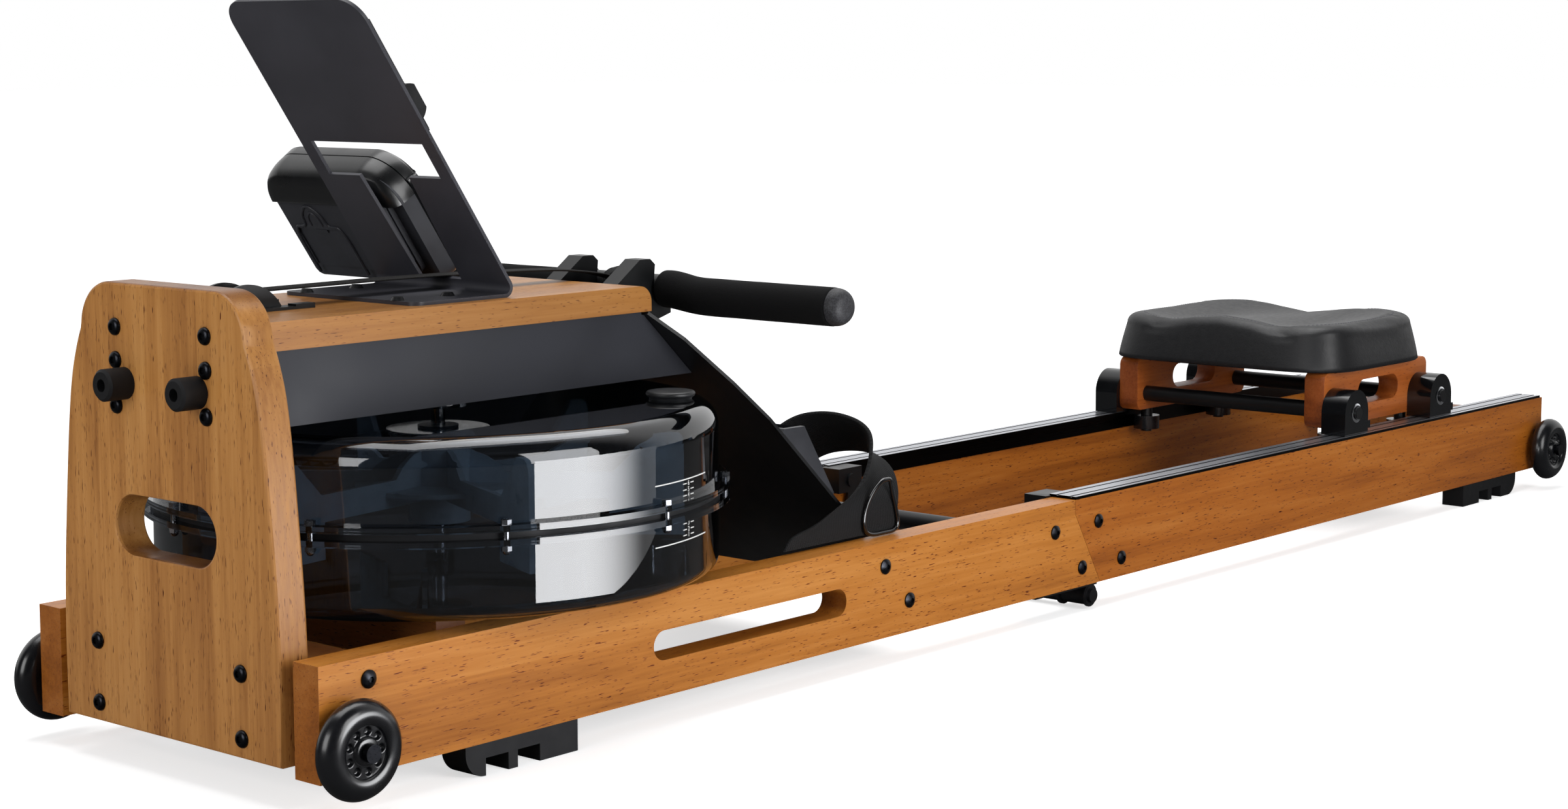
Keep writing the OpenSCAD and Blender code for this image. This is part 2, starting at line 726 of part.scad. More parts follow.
module tank_upper_shell() {
    color("#3a4148", 0.4) on_floor() translate([tank_x, 0, 0]) difference() {
        rotate_extrude($fn = 160) intersection() {
            difference() {
                union() {
                    upper_profile(0);
                    translate([tank_r - 1, high_z]) square([flange_w + 1, flange_t]);
                    translate([shaft_d, tank_top - 1]) square([shaft_d, 5]);
                }
                upper_profile(tank_wall);
                translate([0, tank_top - 10]) square([shaft_d / 2 + run_fit, 20]);
            }
            translate([0, high_z]) square([2 * tank_r, tank_high_h + 10]);
        }
        for (i = [0 : tank_bolts_n - 1]) rotate(i * 360 / tank_bolts_n - 12)
            translate([tank_r + flange_w / 2, 0, high_z - 1]) cylinder(d = 5.2, h = flange_t + 2);
        rotate(cap_angle) translate([cap_reach, 0, tank_top - 20])
            cylinder(d = cap_d - 10, h = 40);
    }
}
module tank_gasket() {
    color("#101012") on_floor() translate([tank_x, 0, split_z]) difference() {
        cylinder(r = tank_r + 1, h = gasket_t, $fn = 160);
        translate([0, 0, -1]) cylinder(r = tank_r - tank_wall, h = gasket_t + 2, $fn = 160);
    }
}
module tank_bolts() {
    color("silver") on_floor() translate([tank_x, 0, 0])
        for (i = [0 : tank_bolts_n - 1]) rotate(i * 360 / tank_bolts_n - 12)
            translate([tank_r + flange_w / 2, 0, 0]) {
                translate([0, 0, split_z - flange_t - 4]) cylinder(d = 5, h = 2 * flange_t + gasket_t + 8);
                translate([0, 0, high_z + flange_t]) cylinder(d = 8.6, h = 4, $fn = 6);
                translate([0, 0, split_z - flange_t - 4]) cylinder(d = 8.6, h = 4, $fn = 6);
                translate([0, 0, split_z - flange_t - 4]) sphere(d = 6.6);
            }
}
module fill_cap() {
    color("#3a4148", 0.5) on_floor() translate([cap_x, cap_y, tank_top]) {
        difference() {
            cylinder(d = cap_d, h = 7);
            for (a = [0 : 20 : 340]) rotate(a) translate([cap_d / 2 + 0.6, 0, -1]) cylinder(r = 1.4, h = 10);
        }
        translate([0, 0, -9]) cylinder(d = cap_d - 10 - 2 * loose, h = 9.5);
    }
}
module impeller_arm() {
    blade_w = 62;
    brace = blade_rise - 2;
    translate([0, -arm_t / 2, arm_z - arm_h / 2]) cube([arm_reach, arm_t, arm_h]);
    translate([arm_reach - blade_w, -arm_t / 2, arm_z - arm_h / 2 - blade_rise + 6])
        cube([blade_w, arm_t, blade_rise]);
    // upright blade at the tip with a rounded outer top corner
    translate([0, arm_t / 2, 0]) rotate([90, 0, 0]) linear_extrude(arm_t) {
        translate([arm_reach - 26, arm_z]) square([26, arm_h / 2 + blade_rise - 12]);
        translate([arm_reach - 26, arm_z]) square([14, arm_h / 2 + blade_rise]);
        translate([arm_reach - 12, arm_z + arm_h / 2 + blade_rise - 12]) circle(12);
        translate([0, arm_z + arm_h / 2]) polygon([[arm_reach - 26 - brace, -1], [arm_reach - 25, -1],
            [arm_reach - 25, brace]]);
        translate([0, arm_z + arm_h / 2]) polygon([[24, brace], [24, -1], [24 + brace, -1]]);
    }
}
module impeller() {
    hub_r = 26;
    color("#27313c") on_floor() translate([tank_x, 0, 0]) difference() {
        union() {
            for (i = [0 : arms_n - 1]) rotate(i * 360 / arms_n + 8) impeller_arm();
            translate([0, 0, arm_z - 30]) cylinder(r = hub_r, h = arm_h / 2 + blade_rise + 28);
            translate([0, 0, arm_z - 2]) cylinder(r = 70, h = 4);
        }
        translate([0, 0, 0]) cylinder(d = shaft_d, h = 400);
    }
}
module impeller_shaft() {
    color("silver") on_floor() translate([tank_x, 0, tank_z + tank_wall + 2 + loose])
        cylinder(d = shaft_d, h = board_low - loose - tank_z - tank_wall - 2 - loose);
}
module strap_spool() {
    flange = 6;
    color("#26272b") on_floor() translate([tank_x, 0, spool_z]) rotate_extrude() difference() {
        square([spool_d / 2 + flange, spool_h]);
        translate([spool_d / 2, flange / 2]) square([2 * flange, spool_h - flange]);
        translate([0, -1]) square([bearing_d / 2 + run_fit, spool_h + 2]);
    }
}

// ---------- pulley, strap, handle ----------
module front_pulley() {
    color("#26272b") on_floor() translate([pulley_x, 0, pulley_z]) rotate([90, 0, 0])
        rotate_extrude() translate([0, -pulley_w / 2]) difference() {
            square([pulley_r + 2.2, pulley_w]);
            translate([pulley_r, 0.4]) square([5, pulley_w - 0.8]);
            translate([0, -1]) square([4 + run_fit, pulley_w + 2]);
        }
}
module pulley_guards() {
    color("#1d1d20") on_floor() {
        both_sides() {
            upright_sheet(-guard_in - guard_t, guard_t) difference() {
                translate([pulley_x, pulley_z]) circle(guard_r);
                translate([pulley_x, pulley_z]) circle(guard_r - 13);
                translate([pulley_x - guard_r - 1, board_z - 2 * guard_r]) square([2 * guard_r + 2, 2 * guard_r]);
            }
            translate([pulley_x - pulley_r, -guard_in - guard_t, board_low + 2])
                cube([2 * pulley_r, guard_t, board_t]);
            translate([pulley_x - guard_r - 4, -guard_in - 14, board_z]) cube([2 * guard_r + 8, 14, 2.4]);
            translate([pulley_x + guard_r, -guard_in - 14, board_z]) cube([19, 10, 4]);
        }
        translate([pulley_x, 0, pulley_z]) along_y(8, 2 * (guard_in + guard_t));
    }
}
// a flat box that the webbing is twisted between
module web_end(x, y, z, size) {
    translate([x, y, z]) cube(size);
}
module pull_strap() {
    web = 2;
    low = pulley_z - pulley_r - loose - web;
    spool_y = spool_d / 2 + 2 * loose;
    run_h = pull_w - 1;
    run_z = spool_z + (spool_h - run_h) / 2;
    twist_x = tank_x - 100;
    anchor = [handle_x - grip_d / 2 - loose, handle_z + 6];
    top = [[257, strap_top + 0.6], [400, strap_top - 3], [450, strap_top - 10], anchor];
    inner_r = pulley_r + loose;
    color("#202124") on_floor() {
        // side view: along the top, round the pulley and back under the board
        upright_sheet(-pull_w / 2, pull_w) polygon([
            for (i = [3 : -1 : 0]) top[i],
            for (a = [90 : 7.5 : 270]) [pulley_x + inner_r * cos(a), pulley_z + inner_r * sin(a)],
            [pulley_x + 50, low + web], [pulley_x + 50, low],
            for (a = [270 : -7.5 : 90]) [pulley_x + (inner_r + web) * cos(a), pulley_z + (inner_r + web) * sin(a)],
            for (p = top) p + [0, web]]);
        hull() {
            web_end(pulley_x + 48, 0.2 - pull_w / 2, low + 0.2, [1, pull_w - 0.4, web - 0.4]);
            web_end(twist_x, spool_y + 0.2, run_z + 0.2, [1, web - 0.4, run_h - 0.4]);
        }
        web_end(twist_x, spool_y, run_z, [100, web, run_h]);
    }
}
// point on the upper face of the foot plate, v down the slope
function on_slope(v) = [foot_x + v * cos(foot_slope) + sheet_t / 2 * sin(foot_slope),
    foot_z - v * sin(foot_slope) + sheet_t / 2 * cos(foot_slope)];
module handle_hooks() {
    seat_r = bar_d / 2 + 0.35;
    // hook profile: nose in front of the bar, curved seat, lip under the bar, foot on the plate
    color("#202124") on_floor() both_sides() upright_sheet(-hook_gap / 2 - hook_w / 2, hook_w) difference() {
        polygon([on_slope(12), [board_end + 5, board_z - 6], [handle_x - 30, board_z + 17],
            [handle_x - 17, board_z + 17], [handle_x - 11, board_z + 12], [handle_x - 13, handle_z],
            [handle_x - 4, handle_z - seat_r], [handle_x + 9, handle_z - seat_r], [handle_x + 9, handle_z - seat_r - 9],
            [handle_x - 9, handle_z - seat_r - 14], on_slope(58)]);
        translate([handle_x, handle_z]) circle(seat_r);
    }
}
module rod_between(a, b, d) {
    delta = b - a;
    len = norm(delta);
    translate(a) rotate([0, acos(delta[2] / len), atan2(delta[1], delta[0])]) cylinder(d = d, h = len);
}
module handle_bar() {
    mid = 58;
    color("#18181b") on_floor() {
        translate([handle_x, 0, handle_z]) along_y(bar_d, 2 * mid);
        for (s = [-1, 1]) {
            translate([handle_x, s * mid, handle_z]) sphere(d = bar_d + 0.8);
            rod_between([handle_x, s * mid, handle_z], [handle_x, s * (mid + 26), handle_z - handle_drop], bar_d);
            translate([handle_x, s * (mid + 26), handle_z - handle_drop]) sphere(d = bar_d + 0.8);
            translate([handle_x, s * (mid + 25 + handle_len / 2 - 10) / 2, handle_z - handle_drop])
                along_y(bar_d, handle_len / 2 - mid - 35);
        }
    }
}
module handle_grips() {
    color("#1a1a1c") on_floor() difference() {
        union() for (s = [0, 1]) mirror([0, s, 0]) translate([handle_x, 0, handle_z - handle_drop])
            rotate([90, 0, 0]) grip_blank();
        translate([handle_x, 0, handle_z - handle_drop]) along_y(bar_d, handle_len - 20);
    }
}
module grip_blank() {
    inner = 98;
    cap = 13;
    translate([0, 0, inner]) cylinder(d = grip_d, h = handle_len / 2 - cap - inner);
    intersection() {
        translate([0, 0, handle_len / 2 - 17.2]) sphere(r = 17.2);
        translate([0, 0, handle_len / 2 - cap]) cylinder(d = grip_d, h = cap);
    }
}
module handle_sleeve() {
    color("#222326") on_floor() translate([handle_x, 0, handle_z]) difference() {
        along_y(grip_d, 46);
        along_y(bar_d, 60);
    }
}

// ---------- tablet holder and monitor ----------
// corner of a sheet to cut away, for a corner at the origin that points to +X +Y
module corner_cut(r) {
    difference() {
        translate([-r, -r]) square(r + 5);
        translate([-r, -r]) circle(r);
    }
}
// the four screws that hold the foot of the holder to the board
module holder_screws() {
    for (x = [-93, -40], s = [-1, 1]) translate([bend_x + x, s * (holder_w / 2 - 25.6), board_z]) children();
}
module tablet_plate() {
    half = holder_w / 2;
    tee_w = 136;
    tee_h = 34;
    tee_z = 106;
    tee_stem = 50.4;
    foot_r = 10;
    top_r = 22;
    color("#141417") on_floor() difference() {
        upright_sheet(-half, holder_w) {
            translate([bend_x - holder_foot, board_z]) square([holder_foot, sheet_t]);
            translate([bend_x, bend_z]) {
                difference() {
                    circle(bend_r);
                    circle(bend_r - sheet_t);
                    rotate(lean) translate([-40, 0]) square(40);
                    rotate(lean) square([40, 40]);
                    translate([-40, -20]) square([40, 60]);
                }
                rotate(lean) translate([bend_r - sheet_t, 0]) square([sheet_t, upright_len]);
            }
        }
        for (s = [-1, 1]) {
            on_upright() translate([0, s * half, upright_len]) rotate([90, 0, 90]) linear_extrude(20)
                mirror([s < 0 ? 1 : 0, 0]) corner_cut(top_r);
            translate([bend_x - holder_foot, s * half, board_z - 1]) linear_extrude(20)
                rotate(s > 0 ? 90 : 180) corner_cut(foot_r);
        }
        holder_screws() translate([0, 0, -1]) cylinder(d = 5, h = 10);
        // T-shaped opening that the display is seen through
        on_upright() rotate([90, 0, 90]) linear_extrude(20) {
            translate([-tee_w / 2, tee_z]) square([tee_w, tee_h]);
            polygon([[-tee_stem / 2, 1], [tee_stem / 2, 1], [tee_stem / 2 + 5, tee_z + 1], [-tee_stem / 2 - 5, tee_z + 1]]);
        }
    }
}
module tablet_clips() {
    half = holder_w / 2;
    color("#202124") on_floor() {
        on_upright() translate([bend_r, 0, 0]) {
            for (s = [-1, 1]) translate([0, s * (half - 11) - 8, 150]) cube([3, 16, upright_len - 172]);
            translate([0, -half + 4, 151]) cube([4, 22, 12]);
            translate([0, -half + 6, 176]) rotate([90, 0, 0]) translate([0, 0, -14]) difference() {
                cylinder(r = 17, h = 14);
                translate([-40, -40, -1]) cube([40, 80, 40]);
                translate([13, -40, -1]) cube([40, 80, 40]);
            }
        }
        holder_screws() {
            cylinder(d = 5, h = sheet_t);
            translate([0, 0, sheet_t]) cylinder(d1 = 12, d2 = 8, h = 3);
        }
    }
}
module monitor_outline(inset) {
    w = monitor_w - 2 * inset;
    h = monitor_h - 2 * inset;
    r = 34 - inset;
    low = 8;
    translate([inset, inset]) {
        translate([0, low]) square([w, h - r - low]);
        translate([r, 0]) square([w - 2 * r, h]);
        for (x = [r, w - r]) translate([x, h - r]) circle(r);
        for (x = [low, w - low]) translate([x, low]) circle(low);
        translate([low, 0]) square([w - 2 * low, 30]);
    }
}
module on_monitor() {
    on_upright() translate([monitor_off, monitor_y, -21]) rotate([90, 0, 90]) children();
}
module monitor_back() {
    split = monitor_t * 0.62;
    color("#35363b") on_floor() difference() {
        union() {
            on_monitor() {
                translate([0, 0, 5]) linear_extrude(split - 5) monitor_outline(0);
                linear_extrude(6) monitor_outline(14);
            }
            // clamp foot that holds the housing to the upright
            on_upright() translate([bend_r, monitor_y + 16, 8]) cube([monitor_off - bend_r + 2, 44, 60]);
        }
        on_monitor() {
            translate([0, 0, 8]) linear_extrude(monitor_t) monitor_outline(8);
            translate([92, 14, -1]) cube([58, 42, 8]);
        }
    }
}
module battery_cover() {
    color("#303136") on_floor() on_monitor() {
        translate([92 + loose, 14 + loose, 1.5]) cube([58 - 2 * loose, 42 - 2 * loose, 3]);
        translate([112, 52, 0.2]) cube([18, 3.5, 2]);
    }
}
module monitor_front() {
    split = monitor_t * 0.62;
    color("#28292d") on_floor() on_monitor() difference() {
        translate([0, 0, split]) linear_extrude(monitor_t - split) monitor_outline(0);
        translate([0, 0, split - 1]) linear_extrude(monitor_t - split - 2) monitor_outline(6);
        translate([24, 34, 0]) cube([monitor_w - 48, 60, monitor_t + 1]);
    }
}
module monitor_screen() {
    color("#8f9a8c") on_floor() on_monitor() translate([24, 34, monitor_t - 3])
        cube([monitor_w - 48, 60, 2.4]);
}

// ---------- seat carriage ----------
module track_solid() {
    x0 = front_len + seam_gap + 0.6;
    len = rear_end - x0 - 6;
    difference() {
        union() {
            translate([x0, -rail_out, rail_h]) cube([len, rail_t + track_t, track_t]);
            translate([x0, -rail_in, rail_h - track_lip]) cube([len, track_t, track_lip]);
        }
        for (y = [5, 21]) translate([x0 - 1, -rail_out + y, track_top - 0.8]) cube([len + 2, 3, 2]);
    }
}
module tracks() {
    color("silver") on_floor() both_sides() track_solid();
}
module seat_pad() {
    nose_r = 40;
    half_l = pad_len / 2;
    half_w = pad_w / 2;
    color("#2b2c31") on_floor() translate([seat_x - 14, 0, pad_z]) difference() {
        union() {
            linear_extrude(pad_h - 14) round_rect(pad_len, pad_w, nose_r);
            translate([0, 0, pad_h - 14.01]) linear_extrude(9) round_rect(pad_len - 8, pad_w - 8, nose_r - 4);
            translate([0, 0, pad_h - 5.02]) linear_extrude(5.02) round_rect(pad_len - 24, pad_w - 24, nose_r - 8);
        }
        for (s = [-1, 1]) translate([10, s * half_w * 0.46, pad_h + 88]) sphere(r = 97);
    }
}
module seat_block_solid() {
    difference() {
        translate([seat_x, 0, block_z + block_h / 2]) upright_sheet(-block_y - block_t / 2, block_t) difference() {
            round_rect(block_len, block_h, 3);
            translate([4, 3]) stadium(95, 28);
        }
        for (s = [-1, 1]) translate([seat_x + s * axle_gap / 2, -block_y, axle_z]) along_y(12, block_t + 4);
        for (s = [-1, 1]) translate([seat_x + s * guide_gap / 2, -guide_y, block_z - 1]) cylinder(d = 8, h = 21 - loose);
    }
}
module seat_blocks() {
    color("peru") on_floor() both_sides() seat_block_solid();
}
module seat_tubes() {
    reach = cover_y + cover_w;
    spacer = block_z - guide_z - guide_h - loose;
    color("#202124") on_floor() for (x = [-1, 1], y = [-1, 1])
        translate([seat_x + x * guide_gap / 2, y * guide_y, guide_z - 3 - loose]) {
            cylinder(d = 8, h = block_z + 20 - guide_z + 3);
            cylinder(d = 13, h = 3);
            translate([0, 0, block_z - spacer - guide_z + 3 + loose]) cylinder(d = 14, h = spacer);
        }
    color("#202124") on_floor() for (s = [-1, 1]) translate([seat_x + s * axle_gap / 2, 0, axle_z]) {
        along_y(tube_d - 1.5, 2 * (block_y - block_t / 2));
        along_y(12, 2 * (block_y + block_t / 2));
        along_y(8, 2 * reach + 4);
        for (t = [-1, 1]) translate([0, t * (reach + 2), 0]) along_y(bolt_head_d, 3);
    }
}
module cover_solid(x) {
    low = track_top + 0.6;
    difference() {
        union() {
            upright_sheet(-cover_y - cover_w, cover_w) difference() {
                union() {
                    translate([x, axle_z]) circle(cover_r);
                    translate([x - cover_r, low]) square([2 * cover_r, axle_z - low]);
                    translate([x + cover_r - 2, low + 4]) square([7, 9]);
                }
                translate([x - 50, -50]) square([100, 50 + low]);
            }
        }
        upright_sheet(-cover_y - cover_w + 3, cover_w - 5.4) union() {
            translate([x, axle_z]) circle(roller_r + 0.7);
            translate([x - roller_r - 0.7, 0]) square([2 * roller_r + 1.4, axle_z]);
        }
        translate([x, -cover_y, axle_z]) along_y(22.6, 80);
    }
}
module roller_covers() {
    color("#1d1d20") on_floor() both_sides() for (s = [-1, 1]) cover_solid(seat_x + s * axle_gap / 2);
}
module load_roller(sx) {
    mid_y = cover_y + cover_w / 2;
    translate([seat_x + sx * axle_gap / 2, -mid_y, axle_z]) rotate([90, 0, 0]) rotate_extrude() difference() {
        translate([pin_r + run_fit, -roller_w / 2]) square([roller_r - pin_r - run_fit, roller_w]);
        for (s = [-1, 1]) translate([11, s * roller_w / 2 - 2]) square([7, 4]);
    }
}
module load_roller_fl() {
    color("#dcdcd8") on_floor() load_roller(-1);
}
module load_roller_fr() {
    color("#dcdcd8") on_floor() mirror([0, 1, 0]) load_roller(-1);
}
module load_roller_rl() {
    color("#dcdcd8") on_floor() load_roller(1);
}
module load_roller_rr() {
    color("#dcdcd8") on_floor() mirror([0, 1, 0]) load_roller(1);
}
module guide_roller(sx) {
    translate([seat_x + sx * guide_gap / 2, -guide_y, guide_z]) rotate_extrude()
        translate([4 + run_fit, 0]) square([guide_r - 4 - run_fit, guide_h]);
}
module guide_roller_fl() {
    color("#26272b") on_floor() guide_roller(-1);
}
module guide_roller_fr() {
    color("#26272b") on_floor() mirror([0, 1, 0]) guide_roller(-1);
}
module guide_roller_rl() {
    color("#26272b") on_floor() guide_roller(1);
}
module guide_roller_rr() {
    color("#26272b") on_floor() mirror([0, 1, 0]) guide_roller(1);
}

end_plate();
front_rail_left();
front_rail_right();
tank_bearers();
top_board();
board_skirt();
foot_plate();
footrests();
foot_straps();
strap_rings();
spreader_tube();
hinge_front();
latch_blocks();
front_feet();
bumpers();
tablet_plate();
tablet_clips();
monitor_back();
monitor_front();
monitor_screen();
battery_cover();
handle_hooks();
pulley_guards();
pull_strap();
front_bolts();
tank_lower_shell();
tank_upper_shell();
tank_gasket();
tank_bolts();
fill_cap();
impeller();
impeller_shaft();
strap_spool();
front_pulley();
rear_rail_left();
rear_rail_right();
tracks();
hinge_rear();
rear_cross_bar();
rear_feet();
rear_bolts();
front_wheel_left();
front_wheel_right();
rear_wheel_left();
rear_wheel_right();
seat_pad();
seat_blocks();
seat_tubes();
roller_covers();
load_roller_fl();
load_roller_fr();
load_roller_rl();
load_roller_rr();
guide_roller_fl();
guide_roller_fr();
guide_roller_rl();
guide_roller_rr();
handle_bar();
handle_grips();
handle_sleeve();
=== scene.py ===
# %% [markdown]
# # A folding water rower
#
# The frame of this machine comes from CAD: wooden rails, a clear water tank, a seat on rollers and a pull handle.
# This lesson dresses that frame. Hard parts keep their CAD shape and get a finish that comes from what they are
# made of. Soft parts, such as the seat pad and the straps, are surfaces worked out with numpy.
# Every length is given in millimetres where it is used and turned to metres in one place.

# %% Load the frame
import math

import bmesh
import bpy
import numpy as np
from mathutils import Matrix, Vector


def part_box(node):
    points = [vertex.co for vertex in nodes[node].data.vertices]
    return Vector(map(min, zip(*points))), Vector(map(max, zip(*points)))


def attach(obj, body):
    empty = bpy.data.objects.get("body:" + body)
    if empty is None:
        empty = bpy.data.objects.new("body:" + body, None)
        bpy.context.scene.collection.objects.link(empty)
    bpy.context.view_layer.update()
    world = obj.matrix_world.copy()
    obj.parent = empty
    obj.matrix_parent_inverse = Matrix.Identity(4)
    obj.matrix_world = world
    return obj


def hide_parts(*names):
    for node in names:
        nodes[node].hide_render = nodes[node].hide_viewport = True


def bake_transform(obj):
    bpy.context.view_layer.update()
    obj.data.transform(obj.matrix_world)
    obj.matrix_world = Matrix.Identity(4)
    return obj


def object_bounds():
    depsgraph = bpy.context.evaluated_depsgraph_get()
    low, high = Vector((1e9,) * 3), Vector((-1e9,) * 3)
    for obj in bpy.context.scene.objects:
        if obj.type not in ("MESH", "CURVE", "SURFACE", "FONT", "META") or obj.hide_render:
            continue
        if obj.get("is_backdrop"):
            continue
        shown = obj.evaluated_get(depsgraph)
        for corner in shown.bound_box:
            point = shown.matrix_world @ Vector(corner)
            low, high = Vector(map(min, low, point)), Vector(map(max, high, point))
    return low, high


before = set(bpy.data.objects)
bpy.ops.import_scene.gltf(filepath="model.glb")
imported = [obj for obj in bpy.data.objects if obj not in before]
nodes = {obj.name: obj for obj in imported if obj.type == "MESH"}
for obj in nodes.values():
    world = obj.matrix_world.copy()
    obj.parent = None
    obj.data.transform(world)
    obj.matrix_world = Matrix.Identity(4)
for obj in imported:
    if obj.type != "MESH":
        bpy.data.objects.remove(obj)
cad_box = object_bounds()
MM = 0.001
rail_front, _, rail_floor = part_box("front_rail_left")[0]
print("nodes:", len(nodes), "box:", [round(float(v), 3) for v in np.ravel(cad_box)])

# %% [markdown]
# The rower's own ruler starts at the front ends of the lower rails: x runs backwards along the machine, y to its
# right and z up from the rails' lower edge. One function turns a place on that ruler into the frame's metres, so
# that each number below can be checked with a tape on the real machine.

# %% A place on the machine
TANK_X = 276.0


def at(x, y, z):
    """Place x mm behind the rails' front ends, y mm to the right, z mm above their lower edge, as metres.
    Arrays are allowed, and the last axis of the result holds the three coordinates."""
    x, y, z = np.broadcast_arrays(x, y, z)
    return np.stack([rail_front + MM * x, MM * y, rail_floor + MM * z], axis=-1).astype(float)


def new_object(name, data):
    """An object made of data, linked to the scene."""
    made = bpy.data.objects.new(name, data)
    bpy.context.scene.collection.objects.link(made)
    return made


print("middle of the tank:", at(TANK_X, 0, 191).round(3))

# %% [markdown]
# ## Camera
#
# A long lens keeps the two-metre machine from swelling towards the viewer. The camera stands low, in front and to
# the left, so that the end plate, the tank and the whole run of the rail show. Its three axes are written as rows
# and made a rotation matrix: right, up and backwards.

# %% The camera
lens = bpy.data.cameras.new("camera")
lens.sensor_width = 36.0
lens.lens = 62.565
lens.shift_x = 0.01965
lens.shift_y = -0.03883
lens.clip_end = 60.0
camera = new_object("camera", lens)
right = Vector((0.6598532, -0.7513885, -0.0030067))
up = Vector((0.0832546, 0.0691344, 0.9941273))
backwards = Vector((-0.7467680, -0.6562284, 0.1081751))
turn = Matrix((right, up, backwards)).transposed().to_4x4()
camera.matrix_world = Matrix.Translation((-2.23889, -1.68420, 0.55801)) @ turn
bpy.context.scene.camera = camera
bpy.context.scene.view_settings.view_transform = "Standard"  # a colour shows as it is written
print("lens:", lens.lens, "mm")

# %% [markdown]
# ## Light
#
# Clear plastic and lacquer are seen mostly by what they mirror, so the lamps are large soft panels, as in a
# studio. A panel on the left lights the long side, one overhead lights the tops of seat and board, and a weaker
# one lights the end plate. The panels are hidden from the camera.

# %% Soft panels
def panel(name, place, target, width, height, watts):
    """A rectangular lamp at place that faces target, both in metres."""
    lamp = bpy.data.lights.new(name, "AREA")
    lamp.shape = "RECTANGLE"
    lamp.size = width
    lamp.size_y = height
    lamp.energy = watts
    holder = new_object(name, lamp)
    holder.location = place
    holder.rotation_euler = (Vector(target) - Vector(place)).to_track_quat("-Z", "Y").to_euler()
    holder.visible_camera = False


panel("key_left", (-0.35, -2.7, 1.05), (-0.45, 0.0, 0.25), 1.5, 1.7, 46)
panel("overhead", (0.0, 0.3, 2.7), (0.0, 0.0, 0.2), 3.4, 1.8, 68)
panel("front_fill", (-3.4, -0.2, 1.0), (-0.9, 0.0, 0.25), 1.4, 1.4, 30)

# %% [markdown]
# ## Backdrop and floor
#
# The backdrop is white, but a white room would wash out every black part. Light Path tells the world what a ray is
# for: the camera sees white and rays through the smoked plastic a dim grey, while light that falls on the machine
# comes from a dim room. Mirrors see a bright wall behind the machine and a dark studio in front of it.

# %% Colours and nodes
WHITE = (1.0, 1.0, 1.0, 1.0)


def colour(code):
    """An sRGB hex code such as "#c8a060" as linear red, green, blue and alpha."""
    value = np.array([int(code[i : i + 2], 16) for i in (1, 3, 5)]) / 255.0
    light = np.where(value <= 0.04045, value / 12.92, ((value + 0.055) / 1.055) ** 2.4)
    return (*map(float, light), 1.0)


def wire(tree, node, values):
    """Gives a node its inputs, by name or number. A number or colour is set on the socket, another node's output
    is linked to it, and a node stands for its own first output."""
    for name, value in values.items():
        if isinstance(value, bpy.types.Node):
            value = value.outputs[0]
        if isinstance(value, bpy.types.NodeSocket):
            tree.links.new(value, node.inputs[name])
        else:
            node.inputs[name].default_value = value


def add(tree, kind, values=None, **settings):
    """Adds a node of that kind, whose properties are settings and whose inputs are values."""
    new = tree.nodes.new("ShaderNode" + kind)
    for name, value in settings.items():
        setattr(new, name, value)
    wire(tree, new, values or {})
    return new


def remap(tree, value, source=(0.0, 1.0), target=(0.0, 1.0), **settings):
    """Takes a value from the range source to the range target and holds it there."""
    return add(tree, "MapRange", {"Value": value, "From Min": source[0], "From Max": source[1],
                                  "To Min": target[0], "To Max": target[1]}, **settings)


# %% The room
world = bpy.data.worlds.new("studio")
bpy.context.scene.world = world
world.use_nodes = True
sky = world.node_tree
sky.nodes.clear()
path = add(sky, "LightPath")
way = add(sky, "TexCoord")
towards_wall = add(sky, "VectorMath", {0: way.outputs["Generated"], 1: (0.707, 0.62, 0.1)}, operation="DOT_PRODUCT")
wall = remap(sky, towards_wall.outputs["Value"], (-0.05, 0.45), (0.03, 0.95), interpolation_type="SMOOTHSTEP")
room = add(sky, "Background", {"Color": (0.96, 0.98, 1.0, 1.0), "Strength": 0.24})
mirrored = add(sky, "Background", {"Color": WHITE, "Strength": wall})
through = remap(sky, path.outputs["Is Transmission Ray"], target=(1.0, 0.3))
seen = add(sky, "Background", {"Color": WHITE, "Strength": through})
for_mirrors = add(sky, "MixShader", {0: path.outputs["Is Glossy Ray"], 1: room, 2: mirrored})
straight = add(sky, "Math", {0: path.outputs["Is Camera Ray"], 1: path.outputs["Is Transmission Ray"]},
               operation="MAXIMUM")
for_all = add(sky, "MixShader", {0: straight, 1: for_mirrors, 2: seen})
add(sky, "OutputWorld", {"Surface": for_all})
print("world nodes:", len(sky.nodes))

# %% The floor
def blank_material(name):
    """A material with an empty node tree, and that tree."""
    made = bpy.data.materials.new(name)
    made.use_nodes = True
    made.node_tree.nodes.clear()
    return made, made.node_tree


def flat_sheet(name, corners, material):
    """A rectangle through four corners in metres."""
    mesh = bpy.data.meshes.new(name)
    mesh.from_pydata(corners, [], [(0, 1, 2, 3)])
    mesh.materials.append(material)
    return new_object(name, mesh)


# matt paper that glows a little for the camera, so that it reads as white but keeps the machine's shadow;
# the glow grows with distance, so that no horizon shows, and mirrors see the paper darker, or it would veil every
# dark part that stands over it
paper, sheet = blank_material("studio_paper")
path = add(sheet, "LightPath")
spot = add(sheet, "TexCoord")
away = add(sheet, "VectorMath", {0: spot.outputs["Object"]}, operation="LENGTH")
far = remap(sheet, away.outputs["Value"], (1.2, 3.6), (0.62, 0.92))
glow = add(sheet, "Math", {0: path.outputs["Is Camera Ray"], 1: far}, operation="MULTIPLY")
dull = remap(sheet, path.outputs["Is Glossy Ray"], target=(0.80, 0.1))
matt = add(sheet, "BsdfDiffuse", {"Color": dull})
shine = add(sheet, "Emission", {"Color": WHITE, "Strength": glow})
both = add(sheet, "AddShader", {0: matt, 1: shine})
add(sheet, "OutputMaterial", {"Surface": both})
FLOOR = 30
